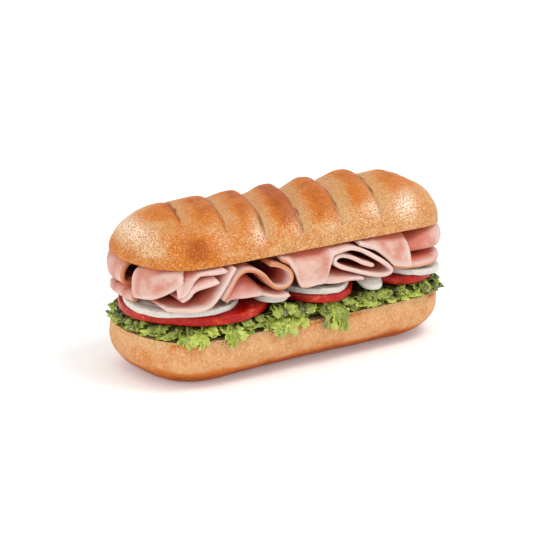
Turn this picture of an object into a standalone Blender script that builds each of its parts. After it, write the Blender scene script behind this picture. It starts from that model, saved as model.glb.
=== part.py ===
"""A submarine sandwich: a scored, split roll with lettuce, tomato, onion and folded ham.

The roll lies along X on its flat underside, and its photographed front looks along -Y. Every layer
is laid out on a level design height first, then settled: the fillings and the upper half of the roll
sag together towards the rim, so layers that are apart in the design stay apart.
"""

import math

import bmesh
import bpy
import numpy as np
from mathutils import Matrix

MM = 0.001
WELD = 0.01  # points closer than this, in millimetres, become one after a union

# Driving dimensions, in millimetres
ROLL_LENGTH = 151.0
ROLL_WIDTH = 66.0
LOWER_HEIGHT = 20.5  # resting face to the cut face of the lower half
EDGE_DROP = 0.9  # height of the rounded edge between the lower crust and its cut face
WALL_BULGE = 0.7  # how far the lower crust stands out half way up
OUTLINE_POWER = 8.4  # how square the plan outline is at its ends
ROUND_POWER = 2.6  # superellipse power of the lines of equal distance from the rim, and of the underside
BOTTOM_DEPTH = 1.08  # how deep the underside's curve runs for its height; over 1 leaves a flat to rest on
BOTTOM_FULLER = 0.1  # how much deeper it runs at the -X end
UPPER_CUT = 54.4  # cut face of the upper half on the centre line
UPPER_DOME = 17.6  # rim of the upper half to its crown, half way along

SAG = 2.6  # drop of the layers from the centre line to the rim
END_SAG = 1.6  # further drop at the two ends
SAG_START = 20.8  # height where the sag begins
SAG_FULL = 30.0  # height from which it is whole

CREASES = (-51.5, -32.5, -14.6, 4.6, 24.6, 45.4)  # scores across the crust, where they cross the centre line
CREASE_DEPTHS = (1.3, 2.2, 3.0, 3.6, 3.4, 3.0)
CREASE_REACH = (0.25, 0.5, 1.0, 1.0, 1.0, 0.8)  # share of a score's depth that is left low on the crust
CREASE_SLANT = 0.43  # how far a score runs along X for each millimetre across
CREST = 0.68  # share of the way to the next score where a lobe stands highest
LIP_POWER = 2.4  # how steeply a lobe falls from its crest into the next score
DOME_POWER = 2.35  # superellipse power of the upper crust across the roll
LOBE_BOUNDS = (-ROLL_LENGTH / 2 - 6, *CREASES, ROLL_LENGTH / 2 - 8)
CROWN_RISE = (0.9, 2.6)  # how much higher the crown stands at the ends: towards +X only, and at both
ROUNDING = 0.5  # how much rounder the crust runs down at the -X end

FILLING_LENGTH = 153.0  # the fillings stand a little out of the roll's ends
HAM_THICK = 1.9
DRAPE_START = 0.7  # share of the half width where a hanging edge of ham begins to turn down
LETTUCE_TOP = 28.0
LEAF_THICK = 1.1
SHREDS = 25
SHRED_WIDTH = (5.0, 7.6)
# Heaped shreds where no tomato lies at the front rim: x, height
HEAPS = ((-22.0, 32.4), (-17.2, 33.0), (-12.4, 32.2), (22.5, 30.2), (27.5, 30.6), (32.5, 30.2))
# Shreds that hang over the rim: x, side of the roll (-1 is the front), height of the lower end, width
CLUMPS = (
    (-65.4, -1, 18.6, 5.4), (-61.6, -1, 18.2, 5.0), (-46.0, -1, 17.2, 6.6), (-24.0, -1, 17.0, 6.6),
    (-14.6, -1, 16.8, 6.0), (3.4, -1, 15.4, 5.4), (7.6, -1, 13.8, 5.0),
    (-52.0, 1, 17.4, 7.6), (-19.0, 1, 16.2, 8.0), (13.0, 1, 17.4, 6.6), (46.0, 1, 16.8, 7.4),
)
SEED = 11
TOMATO_LEVELS = (29.9, 33.3)
ONION_LEVELS = (33.7, 36.2)

# Discs: centre x, centre y, half size along x, half size along y
TOMATOES = (
    (-43.2, -0.6, 31.0, 33.2),
    (5.0, -15.5, 18.6, 18.6),
    (49.6, -2.4, 24.6, 29.4),
    (8.0, 18.0, 14.2, 14.2),
)
ONIONS = (
    (-52.0, -3.8, 22.6, 27.0),
    (-21.5, -23.2, 8.4, 8.8),
    (4.0, -16.8, 16.8, 17.4),
    (28.0, -25.6, 6.0, 8.2),
    (54.8, -6.6, 18.8, 27.4),
    (-20.0, 14.5, 12.4, 14.5),
    (9.0, 17.6, 12.8, 13.6),
)
ONION_DROPS = (0.0, 0.0, 0.0, 2.6, 0.0, 0.0, 0.0)  # how far the outer edge of a slice hangs

# Ham slices: the path of a slice as x, height, how far its edge hangs, how far it stands out of the wall
HAM = (
    (
        (-65.4, 41.3, 0, -1), (-63.2, 43.4, 0, 0), (-62.0, 46.2, 0.4, 0.6), (-59.8, 48.4, 1.2, 1),
        (-56.4, 49.8, 2.0, 1), (-52.2, 50.2, 2.0, 1),
    ),
    (
        (-70.4, 38.5, 0, -0.5), (-66.0, 38.2, 0, 0), (-60.5, 38.4, 0.3, 0.6), (-56.0, 39.6, 0.3, 1.6),
        (-52.4, 42.6, 0, 2), (-50.0, 46.6, 0, 2), (-47.6, 50.4, 0, 1.6), (-44.4, 53.0, 0, 1),
    ),
    ((-59.6, 52.0, 0.4, 0), (-57.0, 52.7, 0.6, 0.4), (-53.0, 53.0, 0.8, 0.8), (-48.8, 53.0, 0.4, 1)),
    (
        (-50.2, 40.4, 0, 1.6), (-48.0, 44.8, 0, 2), (-44.8, 48.6, 0, 2), (-40.4, 50.9, 0, 2),
        (-35.6, 50.5, 0, 2), (-31.6, 48.0, 0, 2), (-28.4, 44.6, 0, 2), (-24.8, 41.6, 0, 2),
        (-20.4, 41.1, 0, 2), (-17.9, 43.6, 0, 2), (-18.2, 47.2, 0, 2), (-21.6, 49.8, 0, 1.6),
        (-27.0, 51.2, 0, 1),
    ),
    (
        (-47.4, 39.0, 0.6, -1), (-45.0, 42.2, 3.4, -1.2), (-42.2, 45.2, 6.4, -1.2), (-39.4, 46.9, 8.2, -1.2),
        (-36.0, 46.5, 7.8, -1.2), (-33.0, 44.2, 5.6, -1), (-30.0, 41.0, 2.6, -0.4), (-27.0, 39.0, 1.4, 0.6),
        (-23.0, 38.2, 1.4, 1.4), (-18.6, 38.4, 1.0, 1.6),
    ),
    (
        (-21.5, 53.0, 0.4, 1.4), (-18.4, 53.1, 3.0, 1.4), (-15.6, 53.1, 7.0, 1.4), (-13.4, 53.1, 12.4, 1.4),
        (-11.4, 53.1, 13.8, 1.4), (-5.0, 53.1, 13.8, 1.4), (0.0, 53.0, 13.6, 1.4), (2.4, 53.0, 8.0, 1.4),
        (4.8, 52.9, 3.0, 1.4), (12.0, 52.4, 0.4, 1.4), (19.0, 50.2, 0, 2), (27.0, 45.8, 0, 2.4),
        (33.6, 41.6, 0.5, 2.4), (35.4, 39.4, 1, 2.4), (31.4, 38.4, 1, 2), (20.0, 40.4, 0, 2),
        (11.0, 43.6, 0, 1.6), (6.2, 46.1, 0, 1), (5.6, 48.0, 0, 1), (9.0, 49.0, 0, 1), (14.4, 47.6, 0, 1.4),
        (20.0, 44.8, 0, 1.4), (26.0, 42.4, 0, 1.4),
    ),
    (
        (18.6, 53.2, 0.4, 1), (24.0, 53.1, 2.6, 1), (29.0, 53.1, 5.8, 1.2), (34.0, 53.1, 9.8, 1.4),
        (37.4, 53.0, 12.4, 1.6), (45.6, 52.6, 13.2, 1.6),
    ),
    (
        (38.0, 40.2, 1.0, -1), (45.0, 40.0, 2.2, -0.4), (52.0, 40.0, 2.6, 1), (59.0, 40.4, 2.2, 1.2),
        (65.0, 40.8, 1.4, 0.8), (72.0, 40.6, 0.8, 0),
    ),
    (
        (-9.6, 46.0, 5.0, -1), (-5.0, 44.4, 5.2, -1), (1.0, 42.8, 4.6, -0.8), (8.0, 41.2, 3.2, 1),
        (20.4, 38.0, 0.2, 1.4),
    ),
)
# Ham folded round the ends: first and last bearing round the roll in degrees, then at the last edge how far
# the lower border rises and how far the fold tucks in, then the section as out of the wall and height
BACK_FOLD = ((-9, 53.0), (-3, 52.8), (-0.6, 50.8), (0.2, 47.8), (-0.6, 45.0), (-4, 43.8), (-8, 44.2))
HAM_WRAPS = (
    (145, 176, 0.0, 0.0, BACK_FOLD),
    (193, 229, 9.0, 0.0, ((-6, 52.8), (-3, 52.6), (-0.4, 50.8), (0.6, 47.6), (0.6, 44.0), (-0.2, 40.6))),
    (-4, -65.5, 0.0, 3.8, BACK_FOLD),
    (4, 58, 0.0, 0.0, BACK_FOLD),
    (150, 190, 0.0, 0.0, ((-7, 41.1), (-3, 41.2), (-0.9, 40.6), (-0.5, 39.5), (-1.5, 38.4), (-3.0, 38.4))),
)
WRAP_TOP = 52.8
TUCK_START = 0.72  # share of a fold's way round from which it tucks in
TUCK_DROP = 1.15  # how far the top of a tucked fold comes down for each millimetre that it goes in

BUN_COLOUR = (0.66, 0.36, 0.15)
LETTUCE_COLOUR = (0.28, 0.42, 0.08)
TOMATO_COLOUR = (0.55, 0.05, 0.02)
ONION_COLOUR = (0.74, 0.70, 0.62)
HAM_COLOUR = (0.78, 0.46, 0.38)


def clear_scene():
    for thing in list(bpy.data.objects):
        bpy.data.objects.remove(thing, do_unlink=True)


def smooth(value):
    """Eased step: 0 below 0, 1 above 1, and 3t^2 - 2t^3 between."""
    t = np.clip(value, 0.0, 1.0)
    return t * t * (3 - 2 * t)


def half_width(x, length=ROLL_LENGTH):
    """Half width of the plan outline at x: straight sides that round off at blunt ends."""
    reach = np.clip(np.abs(2 * np.asarray(x, float) / length), 0, 1)
    return ROLL_WIDTH / 2 * np.sqrt(1 - reach**OUTLINE_POWER)


def outward(x, y):
    """How far out a point lies, 0 on the centre line and 1 on the roll's outline."""
    straight = (ROLL_LENGTH - ROLL_WIDTH) / 2
    along = np.clip(np.abs(x) - straight, 0, None) / (ROLL_LENGTH / 2 - straight)
    across = np.abs(y / (ROLL_WIDTH / 2))
    return (along**ROUND_POWER + across**ROUND_POWER) ** (1 / ROUND_POWER)


def sag_at(x, y):
    drop = SAG + END_SAG * np.clip(np.abs(2 * x / ROLL_LENGTH), 0, 1) ** 4
    return drop * np.clip(outward(x, y), 0, 1.08) ** 2


def settle(points):
    """Design heights brought down by the sag, which grows from the lettuce up to the tomatoes."""
    x, y, z = np.moveaxis(np.asarray(points, float), -1, 0)
    share = np.clip((z - SAG_START) / (SAG_FULL - SAG_START), 0, 1)
    return np.stack([x, y, z - sag_at(x, y) * share], axis=-1)


def spline(rows, count):
    """Catmull-Rom curve through the rows, with its points spread evenly along its length."""
    rows = np.asarray(rows, float)
    ends = np.vstack([2 * rows[0] - rows[1], rows, 2 * rows[-1] - rows[-2]])
    t = np.linspace(0, len(rows) - 1, 24 * len(rows))
    k = np.minimum(t.astype(int), len(rows) - 2)
    f = (t - k)[:, None]
    a, b, c, d = ends[k], ends[k + 1], ends[k + 2], ends[k + 3]
    fine = 0.5 * (2 * b + (c - a) * f + (2 * a - 5 * b + 4 * c - d) * f**2 + (3 * b - a - 3 * c + d) * f**3)
    run = np.concatenate([[0], np.cumsum(np.hypot(*np.diff(fine[:, :2], axis=0).T))])
    even = np.linspace(0, run[-1], count)
    return np.stack([np.interp(even, run, column) for column in fine.T], axis=-1)


def add_object(name, points, faces, colour, roughness, smooth_angle=40):
    mesh = bpy.data.meshes.new(name)
    mesh.from_pydata((np.asarray(points) * MM).tolist(), [], [list(map(int, face)) for face in faces])
    mesh.validate()
    work = bmesh.new()
    work.from_mesh(mesh)
    bmesh.ops.recalc_face_normals(work, faces=work.faces)
    work.to_mesh(mesh)
    work.free()
    mesh.shade_smooth()
    mesh.set_sharp_from_angle(angle=math.radians(smooth_angle))
    material = bpy.data.materials.new(name)
    material.use_nodes = True
    shader = material.node_tree.nodes["Principled BSDF"]
    shader.inputs["Base Color"].default_value = (*colour, 1)
    shader.inputs["Roughness"].default_value = roughness
    mesh.materials.append(material)
    thing = bpy.data.objects.new(name, mesh)
    bpy.context.scene.collection.objects.link(thing)
    return thing


def grid_faces(rows, columns, start=0, wrap=False, flip=False):
    """Triangles of a grid of points stored row by row."""
    across = columns if wrap else columns - 1
    i, j = np.meshgrid(np.arange(rows - 1), np.arange(across), indexing="ij")
    a = start + i * columns + j
    b = start + i * columns + (j + 1) % columns
    c, d = b + columns, a + columns
    faces = np.concatenate([np.stack([a, b, c], -1).reshape(-1, 3), np.stack([a, c, d], -1).reshape(-1, 3)])
    return faces[:, ::-1] if flip else faces


def loft(sections, ends):
    """Closed skin over a row of closed sections, drawn together in a point at either end."""
    rows, columns = sections.shape[:2]
    points = np.concatenate([sections.reshape(-1, 3), ends])
    ring = np.arange(columns)
    following = (ring + 1) % columns
    last = (rows - 1) * columns
    first_cap = np.stack([following, ring, np.full(columns, rows * columns)], -1)
    last_cap = np.stack([last + ring, last + following, np.full(columns, rows * columns + 1)], -1)
    return points, np.concatenate([grid_faces(rows, columns, wrap=True), first_cap, last_cap])


def sheet(middle, thickness):
    """A grid of points made a thin solid: both faces stand half the thickness off along the normal."""
    rows, columns = middle.shape[:2]
    normal = np.cross(np.gradient(middle, axis=0), np.gradient(middle, axis=1))
    normal /= np.linalg.norm(normal, axis=-1, keepdims=True)
    upper = middle + normal * thickness / 2
    lower = middle - normal * thickness / 2
    points = np.concatenate([upper.reshape(-1, 3), lower.reshape(-1, 3)])
    size = rows * columns
    index = np.arange(size).reshape(rows, columns)
    rim = np.concatenate([index[0, :-1], index[:-1, -1], index[-1, :0:-1], index[:0:-1, 0]])
    following = np.roll(rim, -1)
    sides = np.concatenate([
        np.stack([rim, rim + size, following + size], -1),
        np.stack([rim, following + size, following], -1),
    ])
    faces = [grid_faces(rows, columns), grid_faces(rows, columns, start=size, flip=True), sides]
    return points, np.concatenate(faces)


def lobes(x, y, dome):
    """Depth below the crown's smooth dome: nil on the crest of a lobe, whole in a score."""
    along = x - CREASE_SLANT * y
    bounds = np.array(LOBE_BOUNDS)
    depths = np.array([0.0, *CREASE_DEPTHS, 0.0])
    reaches = np.array([1.0, *CREASE_REACH, 1.0])
    near_top = smooth((dome - 0.72) / 0.26)
    k = np.clip(np.searchsorted(bounds, along) - 1, 0, len(bounds) - 2)
    share = (along - bounds[k]) / (bounds[k + 1] - bounds[k])
    rise = smooth(share / CREST)
    fall = np.clip((share - CREST) / (1 - CREST), 0, 1) ** LIP_POWER
    before = depths[k] * (reaches[k] + (1 - reaches[k]) * near_top)
    after = depths[k + 1] * (reaches[k + 1] + (1 - reaches[k + 1]) * near_top)
    return np.where(share < CREST, before * (1 - rise), after * fall)


def upper_rim(x):
    return UPPER_CUT - SAG - END_SAG * np.clip(np.abs(2 * x / ROLL_LENGTH), 0, 1) ** 4


def crust_height(x, y):
    """Height of the upper crust: a superellipse dome over the outline, less the scores."""
    reach = np.clip(x / (ROLL_LENGTH / 2), -1, 1)
    power = DOME_POWER - ROUNDING * smooth((-reach - 0.45) / 0.55)
    dome = np.clip(1 - outward(x, y) ** power, 0, 1) ** (1 / power)
    crown = UPPER_DOME + CROWN_RISE[0] * reach + CROWN_RISE[1] * reach**2
    return upper_rim(x) + crown * dome - lobes(x, y, dome) * smooth((dome - 0.24) / 0.4)


def make_upper_roll():
    """Sections slanted with the scores, so that an edge of the mesh runs down each of them."""
    stations = [
        start + share * (end - start)
        for start, end in zip(LOBE_BOUNDS, LOBE_BOUNDS[1:])
        for share in (0.0, 0.12, 0.3, 0.5, 0.68, 0.84, 0.95)
    ]
    limit = ROLL_LENGTH / 2
    ends = limit - np.array([0.35, 1.4, 3.0, 5.2, 8.2])
    kept = [s for s in stations if abs(s) < limit - 10]
    stations = np.array(sorted([*kept, *ends, *-ends]))
    over = np.sin(np.linspace(-math.pi / 2, math.pi / 2, 15))
    under = np.linspace(1, -1, 9)[1:-1]
    across = np.concatenate([over, under])
    on_top = np.arange(len(across)) < len(over)
    s, v = np.meshgrid(stations, across, indexing="ij")
    x = s + CREASE_SLANT * ROLL_WIDTH / 2 * v * (1 - np.abs(s / limit) ** 6)
    y = half_width(x) * v
    cut = settle(np.stack([x, y, np.full_like(x, UPPER_CUT)], -1))[..., 2]
    rim = np.abs(v) > 0.9999
    z = np.where(rim, cut, np.where(on_top, np.maximum(crust_height(x, y), cut + 0.4), cut))
    tips = np.array([[side * limit, 0, upper_rim(side * limit)] for side in (-1, 1)])
    points, faces = loft(np.stack([x, y, z], -1), tips)
    add_object("bun_top", points, faces, BUN_COLOUR, 0.6, 50)


def make_lower_roll():
    """The underside is flat in the middle and rounds up into a wall that stands out a little."""
    limit = ROLL_LENGTH / 2
    stations = limit * np.sin(np.linspace(-1, 1, 33)[1:-1] * math.pi / 2)
    under = np.sin(np.linspace(-1, 1, 17) * math.pi / 2)
    cut = np.array([0.985, 0.5, 0.0, -0.5, -0.985])
    v = np.concatenate([under, cut])
    s, v = np.meshgrid(stations, v, indexing="ij")
    y = half_width(s) * v
    bowl = np.clip(1 - outward(s, y) ** ROUND_POWER, 0, 1) ** (1 / ROUND_POWER)
    edge = LOWER_HEIGHT - EDGE_DROP
    depth = BOTTOM_DEPTH + BOTTOM_FULLER * smooth(-s / limit - 0.1)
    z = np.maximum(edge * (1 - depth * bowl), 0)
    z[:, len(under):] = LOWER_HEIGHT
    bulge = WALL_BULGE * np.sin(math.pi * np.clip(z / LOWER_HEIGHT, 0, 1)) ** 2
    points, faces = loft(
        np.stack([s * (1 + bulge / limit), y * (1 + 2 * bulge / ROLL_WIDTH), z], -1),
        np.array([[-limit, 0, edge], [limit, 0, edge]]),
    )
    add_object("bun_bottom", points, faces, BUN_COLOUR, 0.6, 50)


def disc(centre_x, centre_y, size_x, size_y, levels, drop, sides, rings, wobble):
    """A round slice: rings of points on both faces, a bulging rim between them, and a hanging edge."""
    low, high = levels
    angle = np.linspace(0, 2 * math.pi, sides, endpoint=False)
    shape = 1 + wobble * np.sin(3 * angle + centre_x) + wobble * np.sin(5 * angle + centre_y)
    middle = (low + high) / 2
    circles = [(share, high) for share in rings] + [(1.0, middle)] + [(share, low) for share in rings[::-1]]
    rows = []
    for share, z in circles:
        x = centre_x + size_x * shape * share * np.cos(angle)
        y = centre_y + size_y * shape * share * np.sin(angle)
        hang = drop * smooth((share - 0.7) / 0.3) * smooth((outward(x, y) - 0.72) / 0.25)
        rows.append(settle(np.stack([x, y, z - hang], -1)))
    poles = settle([[centre_x, centre_y, high], [centre_x, centre_y, low]])
    return loft(np.array(rows), poles)


def make_tomatoes():
    for number, size in enumerate(TOMATOES, 1):
        points, faces = disc(*size, TOMATO_LEVELS, 0.0, 36 if size[2] > 20 else 26, (0.96,), 0.006)
        add_object(f"tomato_slice_{number}", points, faces, TOMATO_COLOUR, 0.3)


def make_onions():
    for number, (size, drop) in enumerate(zip(ONIONS, ONION_DROPS), 1):
        sides = 30 if size[2] > 15 else 20
        points, faces = disc(*size, ONION_LEVELS, drop, sides, (0.75, 0.97), 0.008)
        add_object(f"onion_slice_{number}", points, faces, ONION_COLOUR, 0.35)


def ham_surface(path, count, depths):
    """Middle of a slice: its path along the front, carried to the back, its edges hanging at both walls."""
    x, z, hang, stand = (column[:, None] for column in spline(path, count).T)
    v = np.asarray(depths)[None, :]
    hanging = np.clip(hang / 4, 0, 1)
    plain = np.abs(v)
    past = np.clip((plain - DRAPE_START) / (1 - DRAPE_START), 0, 1)
    turned = DRAPE_START + (1 - DRAPE_START) * (1 - (1 - past) ** ROUND_POWER)
    draped = np.where(plain > DRAPE_START, turned, plain)
    out = plain * (1 - hanging) + draped * hanging
    reach = half_width(x, FILLING_LENGTH) + stand
    sway = 0.9 * np.sin(0.09 * (reach * v) + 0.6)
    y = np.sign(v) * out * reach
    return settle(np.stack(np.broadcast_arrays(x + sway, y, z - hang * past**1.5), -1))


def wrap_surface(first, last, rise, tuck, rows, count, across):
    """Middle of a slice folded over the wall: one section in (out, height), carried round the outline."""
    out, height = spline(rows, across).T
    turn, out = np.meshgrid(np.radians(np.linspace(first, last, count)), out, indexing="ij")
    share = np.linspace(0, 1, count)[:, None]
    lowest = min(row[1] for row in rows)
    tucked = tuck * smooth((share - TUCK_START) / (1 - TUCK_START))
    height = WRAP_TOP - (WRAP_TOP - height) * (1 - rise * share**2.6 / (WRAP_TOP - lowest))
    height = lowest + (height - lowest) * (1 - TUCK_DROP * tucked / (WRAP_TOP - lowest))
    place, _ = rim_point(turn, out - tucked)
    return settle(np.concatenate([place, height[..., None]], -1))


def make_ham():
    plain = (-1, -0.82, -0.45, 0, 0.45, 0.82, 1)
    hung = (-1, -0.92, -0.81, -0.7, 0, 0.7, 0.81, 0.92, 1)
    for number, path in enumerate(HAM, 1):
        run = np.hypot(*np.diff(np.array(path)[:, :2], axis=0).T).sum()
        hangs = max(row[2] for row in path) > 3
        surface = ham_surface(path, max(7, int(run / 3.9)), hung if hangs else plain)
        points, faces = sheet(surface, HAM_THICK)
        add_object(f"ham_slice_{number}", points, faces, HAM_COLOUR, 0.35, 60)
    for number, (first, last, rise, tuck, rows) in enumerate(HAM_WRAPS, len(HAM) + 1):
        surface = wrap_surface(first, last, rise, tuck, rows, max(7, int(abs(last - first) / 8)), 8)
        points, faces = sheet(surface, HAM_THICK)
        add_object(f"ham_slice_{number}", points, faces, HAM_COLOUR, 0.35, 60)


def make_lettuce():
    """A low core with wavy shreds fused on, which stand out of the roll and hang over its rim."""
    limit = ROLL_LENGTH / 2 - 3
    stations = limit * np.sin(np.linspace(-1, 1, 19)[1:-1] * math.pi / 2)
    across = np.array([-1.0, -0.97, 0, 0.97, 1.0, 0.97, 0, -0.97])
    low = SAG_START
    heights = np.array([0.5, 1, 1, 1, 0.5, 0, 0, 0])
    s, v = np.meshgrid(stations, across, indexing="ij")
    y = (half_width(s, 2 * limit) - 2.6 * (1 - np.abs(s / limit) ** 4)) * v
    z = low + (LETTUCE_TOP - low) * np.broadcast_to(heights, s.shape)
    tips = settle([[-limit, 0, (low + LETTUCE_TOP) / 2], [limit, 0, (low + LETTUCE_TOP) / 2]])
    points, faces = loft(settle(np.stack([s, y, z], -1)), tips)
    core = add_object("lettuce", points, faces, LETTUCE_COLOUR, 0.5)

    chance = np.random.default_rng(SEED)
    shreds = bpy.data.collections.new("shreds")
    strips = [*standing_strips(chance), *heaped_strips(chance), *hanging_strips(chance)]
    for number, (points, faces) in enumerate(strips):
        shreds.objects.link(add_object(f"shred_{number}", points, faces, LETTUCE_COLOUR, 0.5))
    union = core.modifiers.new("shreds", "BOOLEAN")
    union.operation = "UNION"
    union.operand_type = "COLLECTION"
    union.collection = shreds
    union.solver = "EXACT"
    graph = bpy.context.evaluated_depsgraph_get()
    joined = bpy.data.meshes.new_from_object(core.evaluated_get(graph))
    core.modifiers.clear()
    core.data = joined
    keep_largest_shell(joined)
    for piece in list(shreds.objects):
        bpy.data.objects.remove(piece, do_unlink=True)
    bpy.data.collections.remove(shreds)
    core.data.materials.clear()
    core.data.materials.append(bpy.data.materials["lettuce"])
    for material in [m for m in bpy.data.materials if m.name.startswith("shred_")]:
        bpy.data.materials.remove(material)


def keep_largest_shell(mesh):
    """Drops the loose scraps and the sealed hollows that the union leaves."""
    work = bmesh.new()
    work.from_mesh(mesh)
    bmesh.ops.remove_doubles(work, verts=work.verts, dist=WELD * MM)
    bmesh.ops.dissolve_degenerate(work, edges=work.edges, dist=WELD * MM)
    bmesh.ops.triangulate(work, faces=work.faces)
    left = set(work.verts)
    shells = []
    while left:
        front = [left.pop()]
        shell = set(front)
        while front:
            near = {edge.other_vert(vertex) for vertex in front for edge in vertex.link_edges} & left
            left -= near
            shell |= near
            front = list(near)
        shells.append(shell)
    largest = max(shells, key=len)
    scraps = [vertex for shell in shells if shell is not largest for vertex in shell]
    bmesh.ops.delete(work, geom=scraps, context="VERTS")
    work.to_mesh(mesh)
    work.free()


def rim_point(turn, out):
    """Point and outward direction on the roll's outline at a bearing, `out` millimetres beyond it."""
    c, s = np.cos(turn), np.sin(turn)
    half, side = ROLL_LENGTH / 2, ROLL_WIDTH / 2
    rho = (np.abs(c) ** ROUND_POWER + np.abs(s) ** ROUND_POWER) ** (-1 / ROUND_POWER)
    x = (half - side) * np.sign(c) * np.minimum(1, np.abs(c) * 1.6) + side * rho * c
    x = np.clip(x, -half, half)
    base = np.stack([x, np.sign(s) * half_width(x)], -1)
    steep = OUTLINE_POWER / half * np.abs(x / half) ** (OUTLINE_POWER - 1)
    slope = np.stack([np.sign(c) * steep, 2 * base[..., 1] / side**2], -1)
    slope = slope / np.linalg.norm(slope, axis=-1, keepdims=True)
    return base + slope * np.asarray(out)[..., None], slope


def bearing_at(share):
    """Bearing of the point that lies this share of the way round the outline."""
    turns = np.linspace(0, 2 * math.pi, 721)
    place, _ = rim_point(turns, np.zeros(721))
    run = np.concatenate([[0], np.cumsum(np.hypot(*np.diff(place, axis=0).T))])
    return float(np.interp(share % 1 * run[-1], run, turns))


def bearing_of(x, side):
    """Bearing of the point of the outline that lies at x, on the front (-1) or the back (1)."""
    turns = np.linspace(math.pi, 2 * math.pi, 721)
    place, _ = rim_point(turns, np.zeros(721))
    return -side * float(np.interp(x, place[:, 0], turns))


def leaf_strip(turn, run, width, taper, lean, ripple, wave, ceiling):
    """A thin strip: its run as out of the rim and height, narrowing, leaning to one side and rippled."""
    out, height = np.array(run).T
    side, out = np.meshgrid(np.array([-0.5, 0.0, 0.5]), out, indexing="ij")
    share = np.broadcast_to(np.linspace(0, 1, len(run)), out.shape)
    ripples = share * np.sin(5.5 * side + 2.5 * share + wave)
    base, slope = rim_point(np.full(out.shape, turn), out + ripple[0] * ripples)
    along = np.stack([-slope[..., 1], slope[..., 0]], -1)
    place = base + along * (side * width * (1 - taper * share**2) + lean * share)[..., None]
    z = np.minimum(np.broadcast_to(height, out.shape) + ripple[1] * ripples, ceiling)
    return sheet(settle(np.concatenate([place, z[..., None]], -1)), LEAF_THICK)


def standing_strips(chance):
    """Shreds all round the rim, which rise a little from the core and stop just out of it."""
    for number in range(SHREDS):
        turn = bearing_at((number + chance.uniform(-0.25, 0.25)) / SHREDS)
        at_end = abs(math.sin(turn)) < 0.5
        rise = chance.uniform(24.0, LETTUCE_TOP)
        tip = min(LETTUCE_TOP, rise + chance.uniform(-1.8, 1.8))
        end = 0.6 if at_end else chance.uniform(0.8, 2.4)
        run = [(-6.0, 25.0), (-2.0, rise), (0.0, tip), (end, tip)]
        width, lean, wave = chance.uniform(*SHRED_WIDTH), chance.uniform(-2.0, 2.0), chance.uniform(0, 6.28)
        yield leaf_strip(turn, run, width, 0.3, lean, (0.2, 0.9), wave, LETTUCE_TOP)


def heaped_strips(chance):
    """Shreds that arch up out of the core and down again in front of it, in the gaps between the tomatoes."""
    for x, top in HEAPS:
        run = [(-7.0, 26.0), (-3.6, top - 1.6), (-0.8, top - 0.6), (1.6, top - 3.4)]
        lean, wave = chance.uniform(-1.0, 1.0), chance.uniform(0, 6.28)
        yield leaf_strip(bearing_of(x, -1), run, 5.2, 0.2, lean, (0.3, 0.6), wave, top)


def hanging_strips(chance):
    """Shreds that hang over the rim, close to the crust."""
    for x, side, low, width in CLUMPS:
        run = [(-6.0, 25.0), (-0.6, 24.8), (2.0, 23.2), (2.7, (23.2 + low) / 2), (2.3, low)]
        lean, wave = chance.uniform(-1.2, 1.2), chance.uniform(0, 6.28)
        yield leaf_strip(bearing_of(x, side), run, width, 0.45, lean, (0.7, 0.3), wave, LETTUCE_TOP)


def centre_all():
    """Everything moved in plan so that the middle of the whole stands over the origin."""
    corners = [thing.matrix_world @ vertex.co for thing in bpy.data.objects for vertex in thing.data.vertices]
    box = np.array([tuple(corner) for corner in corners])
    middle = (box.min(axis=0) + box.max(axis=0)) / 2
    for thing in bpy.data.objects:
        thing.data.transform(Matrix.Translation((-middle[0], -middle[1], 0)))


def main():
    clear_scene()
    make_lower_roll()
    make_lettuce()
    make_tomatoes()
    make_onions()
    make_ham()
    make_upper_roll()
    centre_all()


if __name__ == "__main__":
    main()
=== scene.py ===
"""The looks of a submarine sandwich: a scored, split roll with lettuce, tomato, onion and folded ham.

Sizes in this file are in millimetres and become metres when a mesh is made. The roll lies along X, its
photographed front looks along -Y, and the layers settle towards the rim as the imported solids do.
"""

import itertools
import math

import bpy
import numpy as np
from bpy.props import FloatProperty, FloatVectorProperty, IntProperty, PointerProperty
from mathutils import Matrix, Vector


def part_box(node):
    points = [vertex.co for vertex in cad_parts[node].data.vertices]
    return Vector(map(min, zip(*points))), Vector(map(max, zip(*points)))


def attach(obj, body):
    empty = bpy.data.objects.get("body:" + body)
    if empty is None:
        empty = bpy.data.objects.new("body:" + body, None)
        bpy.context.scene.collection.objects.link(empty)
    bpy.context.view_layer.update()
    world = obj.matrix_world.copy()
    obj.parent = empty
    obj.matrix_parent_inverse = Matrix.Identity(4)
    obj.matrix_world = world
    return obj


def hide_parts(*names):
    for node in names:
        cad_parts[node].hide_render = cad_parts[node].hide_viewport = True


bl_info = {
    "name": "Submarine sandwich",
    "version": (1, 0, 0),
    "blender": (4, 5, 0),
    "location": "View3D > Sidebar > Sandwich",
    "description": "Builds the roll, the fillings and the studio of a submarine sandwich",
    "category": "Object",
}

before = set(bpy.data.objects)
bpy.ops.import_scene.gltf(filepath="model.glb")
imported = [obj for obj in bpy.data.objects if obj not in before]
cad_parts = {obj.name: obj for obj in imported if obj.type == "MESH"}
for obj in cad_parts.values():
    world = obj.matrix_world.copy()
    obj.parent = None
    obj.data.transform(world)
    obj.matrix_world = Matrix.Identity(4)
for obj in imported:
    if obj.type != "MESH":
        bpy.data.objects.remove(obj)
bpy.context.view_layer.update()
MM = 0.001

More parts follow.
